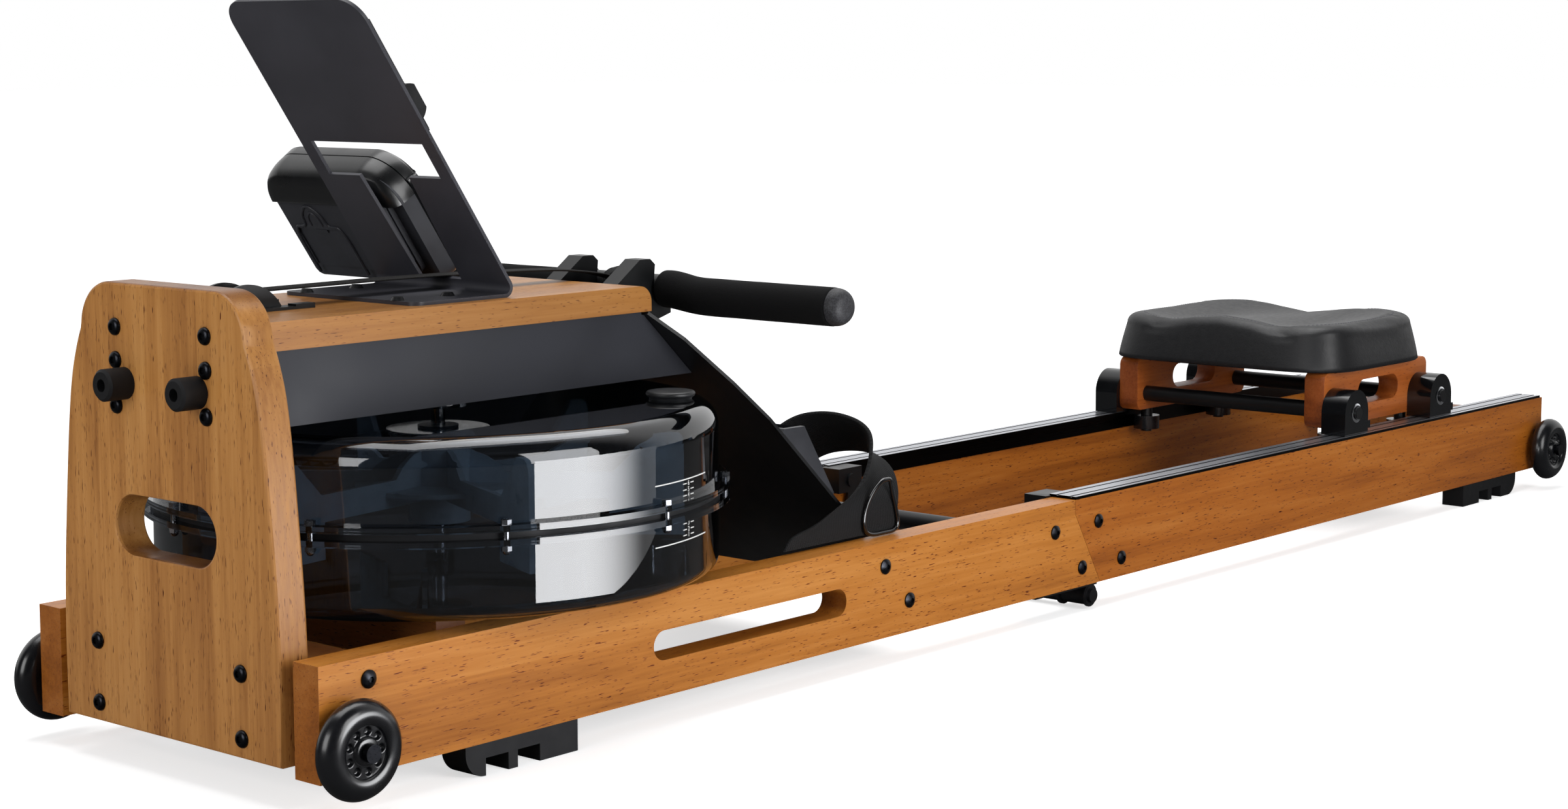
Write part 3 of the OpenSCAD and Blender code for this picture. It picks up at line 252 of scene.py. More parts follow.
floor = flat_sheet("floor", [(-FLOOR, -FLOOR, 0), (FLOOR, -FLOOR, 0), (FLOOR, FLOOR, 0), (-FLOOR, FLOOR, 0)], paper)
floor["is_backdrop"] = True
print("floor is", floor.dimensions.x, "m wide")

# %% [markdown]
# A glowing card stands on the floor beside the tank. It lights nothing, but the polished wall mirrors it as one
# bright upright block that fades to the rear. Only mirror rays may see it.

# %% The card beside the tank
left, right, low, high, aside = -0.86, 0.10, 0.004, 0.285, -0.8
glowing, sheet = blank_material("card_glow")
spot = add(sheet, "TexCoord")
along = add(sheet, "SeparateXYZ", {0: spot.outputs["Object"]})
fade = remap(sheet, along.outputs["X"], (-0.62, -0.08), (13.5, 0.9), interpolation_type="SMOOTHSTEP")
shine = add(sheet, "Emission", {"Color": (0.97, 0.98, 1.0, 1.0), "Strength": fade})
add(sheet, "OutputMaterial", {"Surface": shine})
card = flat_sheet("card", [(left, aside, low), (right, aside, low), (right, aside, high), (left, aside, high)],
                  glowing)
for kind in ("camera", "diffuse", "transmission", "volume_scatter", "shadow"):
    setattr(card, "visible_" + kind, False)
card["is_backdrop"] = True
print("card:", round(right - left, 2), "m wide")

# %% [markdown]
# ## Finishes
#
# Each finish starts from the real stuff. A new material has a Principled shader, and its patterns are laid out in
# millimetres on Object coordinates, which are the machine's own metres, so a pattern stays put on its piece.

# %% Starting a finish
finishes = {}


def finish(name, base, roughness, metallic=0.0, **values):
    """Starts a material called name. Its node tree and its Principled shader are there to build on."""
    made = bpy.data.materials.new(name)
    made.use_nodes = True
    made.diffuse_color = colour(base)
    shader = made.node_tree.nodes["Principled BSDF"]
    wire(made.node_tree, shader, {"Base Color": colour(base), "Roughness": roughness, "Metallic": metallic})
    wire(made.node_tree, shader, {label.replace("_", " "): value for label, value in values.items()})
    finishes[name] = made
    return made.node_tree, shader


def millimetres(tree, size, offset=(0.0, 0.0, 0.0)):
    """Object coordinates times 1000 over size, so that one unit of a pattern is that many millimetres. size is
    one number, or one for each axis."""
    place = add(tree, "TexCoord")
    scale = (1000.0 / np.broadcast_to(size, 3)).tolist()
    return add(tree, "Mapping", {"Vector": place.outputs["Object"], "Scale": scale, "Location": offset})


def noise(tree, size, detail, offset=(0.0, 0.0, 0.0), **values):
    """Noise whose grains are size mm large."""
    where = millimetres(tree, size, offset)
    return add(tree, "TexNoise", {"Vector": where, "Scale": 1.0, "Detail": detail, **values})


def bump(tree, shader, height, depth, strength):
    """Lets a height from 0 to 1 raise the surface by depth millimetres, in the shading only."""
    raised = add(tree, "Bump", {"Height": height, "Distance": depth * MM, "Strength": strength})
    wire(tree, shader, {"Normal": raised})


def uneven(tree, shader, base, pattern, gloss, shade):
    """Lets a noise pattern move roughness over the range gloss, and multiply the base colour by a number from
    the range shade."""
    middle = (0.3, 0.7)
    bright = remap(tree, pattern, middle, shade)
    tint = add(tree, "VectorMath", {0: colour(base)[:3], "Scale": bright}, operation="SCALE")
    wire(tree, shader, {"Roughness": remap(tree, pattern, middle, gloss), "Base Color": tint})


def ramp(tree, factor, stops):
    """A colour ramp over (position, hex code) stops."""
    band = add(tree, "ValToRGB", {0: factor})
    elements = band.color_ramp.elements
    for index in (0, -1):
        elements[index].position = stops[index][0]
        elements[index].color = colour(stops[index][1])
    for position, code in stops[1:-1]:
        elements.new(position).color = colour(code)
    return band


# %% [markdown]
# ### Lacquered rubberwood
#
# The frame is a pale hardwood stained honey brown under a satin lacquer. Close up it shows three things: slow
# bands of light and dark along the grain, fine streaks, and short dark pores like pencil ticks. Noise stretched
# along the grain gives all three. The wood is glued from strips 60 mm wide, each of its own shade. Faces across
# the grain are darker: partly end grain, which drinks more stain, and partly painted shade on those end faces.

# %% Wood
def wood(name, dark, middle, light, grain, strips, strip_axis, seed):
    """Stained wood whose grain runs along axis grain (0 x, 1 y, 2 z), in strips of that width in mm."""
    tree, shader = finish(name, middle, 0.4, Coat_Weight=0.05, Coat_Roughness=0.2, IOR=1.5,
                          Specular_IOR_Level=0.22)
    shift = (seed * 3.1, seed * 1.7, seed * 2.3)

    def along(width, length, detail, **values):
        size = [width] * 3
        size[grain] = length
        return noise(tree, size, detail, shift, **values)

    bands = along(34, 420, 3.0, Distortion=0.7)
    streaks = along(3.2, 90, 4.0, Roughness=0.6)
    pore = remap(tree, along(0.9, 9, 1.0), (0.66, 0.73))
    place = add(tree, "SeparateXYZ", {0: millimetres(tree, strips, shift)})
    strip = add(tree, "Math", {0: place.outputs[strip_axis]}, operation="FLOOR")
    shade = add(tree, "TexWhiteNoise", {"W": strip}, noise_dimensions="1D")
    mix = -0.075
    for part, weight in ((bands, 0.62), (streaks, 0.36), (shade, 0.13)):
        mix = add(tree, "Math", {0: part, 1: weight, 2: mix}, operation="MULTIPLY_ADD")
    tone = ramp(tree, mix, [(0.25, dark), (0.5, middle), (0.74, light)])
    specks = add(tree, "Mix", {0: pore, 6: tone, 7: colour(dark)}, data_type="RGBA", blend_type="MULTIPLY")
    # faces across the grain are darkened by which way they face: end grain's extra stain plus painted shade on the
    # end faces
    face = add(tree, "TexCoord")
    facing = add(tree, "SeparateXYZ", {0: face.outputs["Normal"]})
    end = add(tree, "Math", {0: facing.outputs[grain]}, operation="ABSOLUTE")
    end = remap(tree, end, (0.6, 0.9), (0.0, 0.55))
    ends = add(tree, "Mix", {0: end, 6: specks.outputs[2], 7: colour("#7d4f2b")},
               data_type="RGBA", blend_type="MULTIPLY")
    rough = remap(tree, streaks, target=(0.28, 0.46))
    wire(tree, shader, {"Base Color": ends.outputs[2], "Roughness": rough})
    bump(tree, shader, add(tree, "Math", {0: streaks, 1: pore}, operation="SUBTRACT"), 0.10, 0.6)


wood("rubberwood_plate", "#7c4b22", "#a8743c", "#bd8b50", 2, 64, "Y", 1)
wood("rubberwood_front_rail", "#8a4e18", "#b57129", "#ca8840", 0, 58, "Z", 2)
wood("rubberwood_rear_rail", "#783d0f", "#a25c1a", "#b6722e", 0, 58, "Z", 3)
wood("rubberwood_board", "#7c4a1d", "#a36d33", "#b68145", 0, 62, "Y", 4)
wood("rubberwood_blocks", "#7a3c14", "#a65824", "#ba6c34", 0, 90, "Z", 5)
wood("pine_bearers", "#5d3316", "#7d4a22", "#946033", 1, 80, "Z", 6)
print("woods:", len(finishes))

# %% [markdown]
# ### Coated steel
#
# Skirt, foot plate and tablet holder are folded sheet steel with a baked powder coat. Powder flows into a fine
# orange peel, grains about half a millimetre apart, with a soft cloudy gloss. The grain is drawn at 1.2 mm,
# because a finer one would not show.

# %% Powder coats
def powder_coat(name, base, roughness, cloud, sheen=0.35):
    """Coated sheet steel: a cloudy colour, roughness that varies by cloud, a mirror as strong as sheen, and an
    orange-peel bump."""
    tree, shader = finish(name, base, roughness, IOR=1.5, Specular_IOR_Level=sheen)
    uneven(tree, shader, base, noise(tree, 70, 3.0), (roughness - cloud, roughness + cloud), (0.86, 1.14))
    bump(tree, shader, noise(tree, 1.2, 1.0), 0.04, 0.5)


powder_coat("powder_coat_grey", "#212228", 0.46, 0.08, 0.22)
powder_coat("powder_coat_black", "#0f0f11", 0.38, 0.06)
powder_coat("powder_coat_satin", "#35353b", 0.42, 0.05)
print("finishes so far:", len(finishes))

# %% [markdown]
# ### Moulded plastics and rubber
#
# ABS and nylon parts come out of a mould with a fine spark-eroded grain, or polished where they should shine.
# Rubber is duller and shows almost no gloss. One recipe covers all: a base colour, a grain of a real size, and a
# bump.

# %% Plastics and rubber
def moulded(name, base, roughness, grain, depth, **values):
    """A moulded part with a grain of that size in mm, raised by depth mm, and slightly uneven gloss."""
    tree, shader = finish(name, base, roughness, **values)
    uneven(tree, shader, base, noise(tree, 25, 4.0), (roughness * 0.85, roughness * 1.2), (0.85, 1.15))
    bump(tree, shader, noise(tree, grain, 2.0), depth, 0.6)


moulded("abs_grey", "#2e2f34", 0.42, 0.9, 0.05, Specular_IOR_Level=0.35)
moulded("abs_black", "#0d0e10", 0.36, 0.9, 0.03, Specular_IOR_Level=0.35)
moulded("abs_hood", "#0b0c0e", 0.3, 3.0, 0.01, Coat_Weight=0.15, Coat_Roughness=0.15)
moulded("abs_gloss", "#0a0b0d", 0.12, 6.0, 0.01, Coat_Weight=0.3, Coat_Roughness=0.04)
moulded("nylon_grey", "#2b2c31", 0.45, 0.9, 0.05, Specular_IOR_Level=0.35)
moulded("polyurethane_tyre", "#0d0e11", 0.24, 5.0, 0.02, Coat_Weight=0.15, Coat_Roughness=0.12)
moulded("rubber_black", "#131315", 0.66, 0.7, 0.05, Specular_IOR_Level=0.25)
moulded("stopper_rubber", "#101113", 0.45, 0.8, 0.03, Specular_IOR_Level=0.4)
moulded("impeller_plastic", "#a9bcc9", 0.30, 3.0, 0.02, IOR=1.5)
moulded("roller_urethane", "#1c1d20", 0.35, 1.0, 0.02, IOR=1.5)
print("finishes so far:", len(finishes))

# %% [markdown]
# ### Metals
#
# Most bolts are black-oxide steel, the tank's are zinc plated, and shaft and roller bearings are chromed. The seat
# tracks are anodised aluminium, drawn lengthways through a die, which leaves long fine lines.

# %% Metals
def metal(name, base, roughness, line, along):
    """A metal with drawn or turned lines that are line mm apart and along mm long, lying along x."""
    tree, shader = finish(name, base, roughness, metallic=1.0)
    lines = noise(tree, (along, line, line), 2.0)
    wire(tree, shader, {"Roughness": remap(tree, lines, target=(roughness * 0.6, roughness * 1.5))})
    bump(tree, shader, lines, 0.02, 0.4)
    return tree, shader


metal("black_oxide_steel", "#2a2b2f", 0.31, 1.0, 2.0)
metal("zinc_plated_steel", "#6d6f74", 0.24, 1.0, 2.0)
metal("chromed_steel", "#d7d9dd", 0.10, 2.0, 2.0)
tree, shader = metal("anodised_track", "#c9cbd0", 0.30, 0.8, 160)
# the sides of the track are black, and only its running face is bright
face = add(tree, "TexCoord")
facing = add(tree, "SeparateXYZ", {0: face.outputs["Normal"]})
topside = remap(tree, facing.outputs["Z"], (0.8, 0.95))
coat = add(tree, "Mix", {0: topside, 6: colour("#0d0d0f"), 7: colour("#b9bbc1")}, data_type="RGBA")
wire(tree, shader, {"Base Color": coat.outputs[2]})
print("finishes so far:", len(finishes))

# %% [markdown]
# ### Smoked polycarbonate
#
# The tank is two blow-moulded shells of clear plastic with a deep grey smoke tint: a wall lets about a fifth of
# the light through. Its walls are real solids here, so plain refraction with the plastic's own index does it.
# Rays on their way to a lamp would stop at a refracting wall and leave the inside black, so those rays alone see
# a plain tint. They cross the two faces of a wall, and each face lets a little more than half of the light through.

# %% Clear plastic
tree, shader = finish("smoked_polycarbonate", "#71767e", 0.015, IOR=1.58, Transmission_Weight=1.0)
path = add(tree, "LightPath")
tint = add(tree, "BsdfTransparent", {"Color": (0.56, 0.59, 0.62, 1.0)})
blend = add(tree, "MixShader", {0: path.outputs["Is Shadow Ray"], 1: shader, 2: tint})
wire(tree, tree.nodes["Material Output"], {"Surface": blend})
print("nodes of the clear plastic:", len(tree.nodes))

# %% [markdown]
# ### Display, foam and vinyl
#
# The display window is dull green-grey glass. The grips are sleeves of closed-cell foam rubber, with a skin of
# tiny pits. The pad is a moulded foam with a vinyl skin, pressed with a leather grain of about 2 mm.

# %% Display, foam and vinyl
moulded("display_glass", "#5d675b", 0.08, 20.0, 0.0, IOR=1.5, Coat_Weight=1.0, Coat_Roughness=0.03)
moulded("stitching_thread", "#4a4a50", 0.6, 0.8, 0.05, IOR=1.5)
finish("black_lacquered_wire", "#0c0c0d", 0.16, Coat_Weight=0.6, Coat_Roughness=0.05)

tree, shader = finish("foam_rubber", "#0a0a0b", 0.85, IOR=1.45, Specular_IOR_Level=0.15)
pits = add(tree, "TexVoronoi", {"Vector": millimetres(tree, 1.1), "Scale": 1.0})
bump(tree, shader, pits, 0.18, 0.6)

tree, shader = finish("speckled_cap_rubber", "#1e1e21", 0.55, Specular_IOR_Level=0.35)
grit = noise(tree, 1.4, 2.0)
wire(tree, shader, {"Base Color": ramp(tree, grit, [(0.42, "#1a1a1d"), (0.62, "#303034")])})
bump(tree, shader, grit, 0.12, 0.6)

tree, shader = finish("grained_vinyl", "#0d0d10", 0.46, IOR=1.5)
cells = add(tree, "TexVoronoi", {"Vector": millimetres(tree, 2.0), "Scale": 1.0}, feature="SMOOTH_F1")
folds = noise(tree, 6, 4.0)
wire(tree, shader, {"Roughness": remap(tree, folds, target=(0.38, 0.56))})
bump(tree, shader, add(tree, "Math", {0: cells, 1: folds}, operation="ADD"), 0.16, 0.5)
print("finishes so far:", len(finishes))

# %% [markdown]
# ### Webbing
#
# The straps are woven polyester: ribs run across the tape, each about 1.3 mm wide, and the yarns pass over and
# under, which gives a small brick pattern. On straps that curve, the weave follows the tape's own UV map, whose
# units are metres along and across. On the pull strap it reads Object coordinates, so it is not stretched when the
# strap pays out.

# %% Webbing
def webbing(name, base, light, along, across, follow):
    """Woven tape whose ribs are along mm apart lengthways and whose yarns are across mm wide."""
    tree, shader = finish(name, base, 0.85, IOR=1.45, Specular_IOR_Level=0.25)
    place = add(tree, "TexCoord")
    spot = add(tree, "SeparateXYZ", {0: place.outputs[follow]})
    waves = []
    for axis, apart in (("X", along), ("Y", across)):
        phase = add(tree, "Math", {0: spot.outputs[axis], 1: 2000 * math.pi / apart}, operation="MULTIPLY")
        waves.append(add(tree, "Math", {0: phase}, operation="SINE"))
    knot = add(tree, "Math", {0: waves[0], 1: waves[1]}, operation="MULTIPLY")
    height = remap(tree, knot, (-1.0, 1.0))
    wire(tree, shader, {"Base Color": ramp(tree, height, [(0.2, base), (0.95, light)])})
    bump(tree, shader, height, 0.35, 0.8)


webbing("polyester_foot_strap", "#0a0a0b", "#1b1b1c", 3.0, 2.4, "UV")
webbing("polyester_pull_strap", "#0b0a0a", "#1c1a19", 2.4, 2.0, "Object")
print("all finishes:", len(finishes), sorted(finishes))

# %% [markdown]
# ## Dressing the CAD pieces
#
# A CAD piece keeps its mesh and only gets a new material in its slot. One dictionary says which finish each node
# is made of.

# %% Which finish each node wears
dress = {
    "rubberwood_front_rail": ["front_rail_left", "front_rail_right"],
    "rubberwood_rear_rail": ["rear_rail_left", "rear_rail_right"],
    "rubberwood_board": ["top_board"],
    "pine_bearers": ["tank_bearers", "rear_cross_bar"],
    "powder_coat_grey": ["board_skirt"],
    "powder_coat_black": ["foot_plate", "hinge_front", "hinge_rear", "seat_tubes", "spreader_tube", "handle_bar"],
    "powder_coat_satin": ["tablet_plate"],
    "abs_grey": ["monitor_back", "battery_cover"],
    "abs_black": ["tablet_clips", "latch_blocks", "handle_hooks", "pulley_guards"],
    "abs_gloss": ["monitor_front", "roller_covers", "strap_spool", "front_pulley"],
    "nylon_grey": ["footrests"],
    "polyurethane_tyre": ["guide_roller_fl", "guide_roller_fr", "guide_roller_rl", "guide_roller_rr"],
    "rubber_black": ["front_feet", "rear_feet", "bumpers", "tank_gasket"],
    "impeller_plastic": ["impeller"],
    "roller_urethane": ["load_roller_fl", "load_roller_fr", "load_roller_rl", "load_roller_rr"],
    "black_oxide_steel": ["front_bolts", "rear_bolts"],
    "zinc_plated_steel": ["tank_bolts"],
    "chromed_steel": ["impeller_shaft"],
    "anodised_track": ["tracks"],
    "smoked_polycarbonate": ["tank_upper_shell", "tank_lower_shell"],
    "display_glass": ["monitor_screen"],
}
for name, worn_by in dress.items():
    for node in worn_by:
        body = nodes[node]
        if not body.material_slots:
            body.data.materials.append(None)
        for slot in body.material_slots:
            slot.link = "OBJECT"
            slot.material = finishes[name]
bare = set(nodes) - {node for worn_by in dress.values() for node in worn_by}
print("dressed:", len(nodes) - len(bare), "to be replaced:", sorted(bare))

# %% [markdown]
# ## Surfaces from numbers
#
# Most new pieces are grids of points. Rows run one way over the surface and columns the other, and each square of
# four neighbours is a face. The columns close to a tube, and then the rows close to a ring or each end gets a cap.

# %% A grid made a mesh
def surface(name, points, close_rows=False, cap=False, uv=None, crease=40):
    """A mesh through points[i, j]. A face joins (i, j), (i+1, j), (i+1, j+1) and (i, j+1). The last column joins
    the first, and so does the last row with close_rows. cap closes the first and last row with one face each."""
    n, m = points.shape[:2]
    i = np.arange(n if close_rows else n - 1)[:, None]
    j = np.arange(m)[None, :]
    after_i, after_j = (i + 1) % n, (j + 1) % m
    corners = np.broadcast_arrays(i * m + j, after_i * m + j, after_i * m + after_j, i * m + after_j)
    faces = np.stack(corners, axis=-1).reshape(-1, 4).tolist()
    if cap:
        faces += [list(range(m)), list(range((n - 1) * m, n * m))]
    mesh = bpy.data.meshes.new(name)
    mesh.from_pydata(points.reshape(-1, 3).tolist(), [], faces)
    if uv is not None:
        layer = mesh.uv_layers.new(name="tape")
        vertex = np.empty(len(mesh.loops), dtype=np.int32)
        mesh.loops.foreach_get("vertex_index", vertex)
        layer.data.foreach_set("uv", uv.reshape(-1, 2)[vertex].astype(np.float32).ravel())
    made = new_object(name, mesh)
    outwards(made)
    shade(made, crease)
    return made


def outwards(piece):
    """Merges points that coincide and turns every face of a closed piece to the outside."""
    work = bmesh.new()
    work.from_mesh(piece.data)
    bmesh.ops.remove_doubles(work, verts=work.verts, dist=1e-6)
    bmesh.ops.recalc_face_normals(work, faces=work.faces)
    work.to_mesh(piece.data)
    work.free()


def shade(piece, crease):
    """Shades a piece smoothly, except over edges that fold by more than crease degrees."""
    piece.data.shade_smooth()
    piece.data.set_sharp_from_angle(angle=math.radians(crease))


# %% Joining, moving and dressing meshes
def joined(name, pieces):
    """Several meshes made one piece."""
    work = bmesh.new()
    for piece in pieces:
        work.from_mesh(piece.data)
        bpy.data.objects.remove(piece)
    bmesh.ops.recalc_face_normals(work, faces=work.faces)
    mesh = bpy.data.meshes.new(name)
    work.to_mesh(mesh)
    work.free()
    return new_object(name, mesh)


def places(mesh):
    """Where a mesh's points are, one row for each."""
    flat = np.empty(len(mesh.vertices) * 3)
    mesh.vertices.foreach_get("co", flat)
    return flat.reshape(-1, 3)


def put(mesh, points):
    """Moves a mesh's points to new places."""
    mesh.vertices.foreach_set("co", points.ravel())
    mesh.update()


def dress_piece(piece, material, body):
    """Gives a new piece its finish and the body it rides on."""
    piece.data.materials.append(finishes[material])
    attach(piece, body)
    print(piece.name, "faces:", len(piece.data.polygons), "size mm:", [round(v * 1000) for v in piece.dimensions])


# %% Lengths and circles
def unit(vectors):
    """Vectors scaled to length one."""
    return vectors / np.maximum(np.linalg.norm(vectors, axis=-1, keepdims=True), 1e-12)


def circle(count):
    """count angles, evenly round a whole turn."""
    return np.linspace(0, 2 * np.pi, count + 1)[:-1]


def way_along(line):
    """The length of a line from its start to each of its points."""
    return np.concatenate([[0], np.cumsum(np.linalg.norm(np.diff(line, axis=0), axis=1))])


def hoops(tangent, helper, count):
    """For each tangent a circle of radius one, square to it: cos(t) e1 + sin(t) e2, where e1 is the tangent
    crossed with helper and e2 is the tangent crossed with e1."""
    e1 = unit(np.cross(tangent, helper))
    e2 = np.cross(tangent, e1)
    t = circle(count)
    return np.cos(t)[:, None] * e1[..., None, :] + np.sin(t)[:, None] * e2[..., None, :]


def smooth_line(corners, count, rounds):
    """count points, evenly spaced, along a curve that starts as the straight lines between corners. Chaikin's
    rule cuts each corner at a quarter and three quarters of its two sides, rounds times over."""
    line = np.asarray(corners, dtype=float)
    for _ in range(rounds):
        a, b = line[:-1], line[1:]
        cut = np.stack([0.75 * a + 0.25 * b, 0.25 * a + 0.75 * b], axis=1).reshape(-1, line.shape[1])
        line = np.concatenate([line[:1], cut, line[-1:]])
    length = way_along(line)
    even = np.linspace(0, length[-1], count)
    return np.stack([np.interp(even, length, line[:, k]) for k in range(line.shape[1])], axis=-1)


# %% Strips, rods and turned parts
def tape(name, line, across, width, thick):
    """A woven strip along a line of points. At each point the section is a flat oval: it reaches width/2 along
    across and thick/2 along the normal, which is the tangent crossed with across. UV is metres along, across."""
    t = circle(28)
    side = np.sign(np.cos(t)) * np.abs(np.cos(t)) ** 0.35
    lift = np.sign(np.sin(t)) * np.abs(np.sin(t)) ** 0.7
    tangent = unit(np.gradient(line, axis=0))
    across = unit(across - np.sum(across * tangent, axis=1, keepdims=True) * tangent)
    normal = np.cross(tangent, across)
    points = line[:, None] + 0.5 * MM * (width * side[None, :, None] * across[:, None]
                                         + thick * lift[None, :, None] * normal[:, None])
    uv = np.stack(np.broadcast_arrays(way_along(line)[:, None], 0.5 * MM * width * side), axis=-1)
    return surface(name, points, cap=True, uv=uv, crease=60)


def turned(name, middle, axis, radii, reach):
    """A turned part: at distance reach[i] along axis from middle its radius is radii[i], both in mm."""
    axis = unit(np.asarray(axis, dtype=float))
    ring = hoops(axis, np.array([0.0, 0.0, 1.0]) if abs(axis[2]) < 0.9 else np.array([1.0, 0.0, 0.0]), 48)
    radii, reach = np.asarray(radii, float), np.asarray(reach, float)
    points = middle + MM * (reach[:, None, None] * axis + radii[:, None, None] * ring[None])
    return surface(name, points, cap=True)


def rod(name, line, radius, count=12, closed=False, plane=None):
    """A round rod along a line of points in metres. Its radius in mm is one number, or one for each point. The
    circles start in the plane that the line lies in, given by its normal or fitted to the points."""
    tangent = unit((np.roll(line, -1, 0) - np.roll(line, 1, 0)) if closed else np.gradient(line, axis=0))
    if plane is None:
        plane = np.linalg.svd(line - line.mean(0))[2][2]
    points = line[:, None] + MM * np.broadcast_to(radius, len(line))[:, None, None] * hoops(tangent, plane, count)
    return surface(name, points, close_rows=closed, cap=not closed)


# %% [markdown]
# ## Seat pad
#
# The pad is one moulding: a dished top with a raised nose in front and a hollow for the tail bone behind, and a
# skirt that flares a little. A sculpt would do it too, but heights across the seat at three places and a smooth
# curve between them describe the whole top in a few numbers. Rings of points run from the middle of the top over
# the rim, down the skirt and back under to the middle.

# %% The shape of the pad
PAD_X, PAD_LOW = 1610.5, 160.0
PAD_HALF = np.array([124.5, 157.0])
RIM_R, FLARE, UNDER = 11.0, 8.0, 3.5
TOP_HALF = PAD_HALF - FLARE - RIM_R


def heights(y, knots, values):
    """Straight lines between the heights values at |y| = knots, rounded off with a bell curve 13 mm wide."""
    fine = np.arange(-200.0, 201.0)
    level = np.interp(np.abs(fine), knots, values)
    reach = np.arange(-45.0, 46.0)
    bell = np.exp(-((reach / 13.0) ** 2))
    level = np.convolve(np.pad(level, 45, mode="edge"), bell / bell.sum(), mode="valid")
    return np.interp(y, fine, level)


def pad_top(x, y):
    """Height of the top at x, y from its middle. Along the seat it is the parabola through the front, middle
    and rear heights at that y: F(2t-1)(t-1) + 4Mt(1-t) + Rt(2t-1), with t from 0 in front to 1 behind."""
    t = np.clip(x / (2 * PAD_HALF[0]) + 0.5, 0, 1)
    front = heights(y, [0, 30, 80, 118, 150], [219, 217, 210, 214, 217])
    middle = heights(y, [0, 20, 72, 120, 150], [207, 206, 201, 209, 214])
    rear = heights(y, [0, 30, 60, 100, 136, 157], [204, 211, 219, 220, 219, 216])
    return front * (2 * t - 1) * (t - 1) + middle * 4 * t * (1 - t) + rear * t * (2 * t - 1)


turn = circle(192)
squareness = 2 / 5.2
ring = np.stack([np.sign(np.cos(turn)) * np.abs(np.cos(turn)) ** squareness,
                 np.sign(np.sin(turn)) * np.abs(np.sin(turn)) ** squareness], axis=-1)
rows = []
for share in np.sin(np.linspace(0, np.pi / 2, 27)):
    plan = ring * TOP_HALF * share
    rows.append(np.c_[plan, pad_top(plan[:, 0], plan[:, 1])])
rim = rows[-1][:, 2]
for lean in np.linspace(0, np.pi / 2, 9)[1:]:
    rows.append(np.c_[ring * (TOP_HALF + RIM_R * np.sin(lean)), rim - RIM_R * (1 - np.cos(lean))])
for down in np.linspace(0, 1, 10)[1:]:
    rows.append(np.c_[ring * (PAD_HALF - FLARE * (1 - down) ** 1.2),
                      rim - RIM_R + (PAD_LOW + 2 - rim + RIM_R) * down])
for inset, lift in ((1.2, 0.4), (UNDER, 0.0)):
    rows.append(np.c_[ring * (PAD_HALF - inset), np.full(len(ring), PAD_LOW + lift)])
for share in (0.8, 0.4, 0.0):
    rows.append(np.c_[ring * (PAD_HALF - UNDER) * share, np.full(len(ring), PAD_LOW)])
rows = np.array(rows)
pad = surface("seat_pad_cover", at(PAD_X + rows[..., 0], rows[..., 1], rows[..., 2]), crease=75)
print("pad rings:", rows.shape[0], "highest point mm:", rows[..., 2].max().round(1))

# %% [markdown]
# Foam under a skin swells a little between its seams. A short cloth simulation with air pressure inside gives that
# fullness. The skirt is pinned, no point may move more than 3 mm, and the result is written into the mesh, so
# nothing is left to simulate later.

# %% Let the pad swell
def swell(piece, pressure, cap, pinned, frames=20):
    """Runs cloth with inner pressure for some frames, then moves each point by that change, capped in mm."""
    start = places(piece.data)
    group = piece.vertex_groups.new(name="pinned")
    group.add([int(i) for i in np.flatnonzero(pinned(start))], 1.0, "REPLACE")
    cloth = piece.modifiers.new("swell", "CLOTH")
    cloth.settings.use_pressure = True
    cloth.settings.uniform_pressure_force = pressure
    cloth.settings.vertex_group_mass = "pinned"
    cloth.settings.effector_weights.gravity = 0.0
    cloth.settings.quality = 6
    cloth.collision_settings.use_collision = False
    cloth.point_cache.frame_start, cloth.point_cache.frame_end = 1, frames
    scene = bpy.context.scene
    for step in range(1, frames + 1):
        scene.frame_set(step)
    move = places(piece.evaluated_get(bpy.context.evaluated_depsgraph_get()).to_mesh()) - start
    far = np.linalg.norm(move, axis=1, keepdims=True)
    move *= np.minimum(1.0, cap * MM / np.maximum(far, 1e-9))
    piece.modifiers.remove(cloth)
    piece.vertex_groups.remove(group)
    scene.frame_set(1)
    put(piece.data, start + move)
    print(piece.name, "swelled by up to", round(float(far.max()) * 1000, 1), "mm, kept to", cap)


SKIRT_TOP = 196
swell(pad, 1.5, 3.0, lambda place: place[:, 2] < at(0, 0, SKIRT_TOP)[2])

# %% [markdown]
# The cover is sewn round the top. A seam is a shallow groove, and on it lies a row of short
# stitches, each a small capsule that stands 0.3 mm proud. They come after the swelling, which would smooth them
# away.

# %% Stitches
def stitches(name, line, length, gap, radius):
    """Capsules of that length and radius in mm, a gap apart, along a line. Each is six rings of six points, whose
    radius follows a half circle at both ends."""
    way = way_along(line)
    starts = np.arange(0, way[-1] - length * MM, (length + gap) * MM)
    share = np.array([0.0, 0.08, 0.3, 0.7, 0.92, 1.0])
    bulge = np.array([0.05, 0.6, 1.0, 1.0, 0.6, 0.05]) * radius * MM
    spots = starts[:, None] + share[None] * length * MM
    centre = np.stack([np.interp(spots, way, line[:, k]) for k in range(3)], axis=-1)
    rings = hoops(unit(centre[:, -1:] - centre[:, :1]), np.array([0.0, 0.0, 1.0]), 6)
    points = centre[:, :, None] + bulge[None, :, None, None] * rings
    quad = np.array([[i * 6 + j, i * 6 + (j + 1) % 6, (i + 1) * 6 + (j + 1) % 6, (i + 1) * 6 + j]
                     for i in range(5) for j in range(6)])
    faces = (quad[None] + 36 * np.arange(len(starts))[:, None, None]).reshape(-1, 4)
    mesh = bpy.data.meshes.new(name)
    mesh.from_pydata(points.reshape(-1, 3).tolist(), [], faces.tolist())
    made = new_object(name, mesh)
    outwards(made)
    mesh.shade_smooth()
    return made


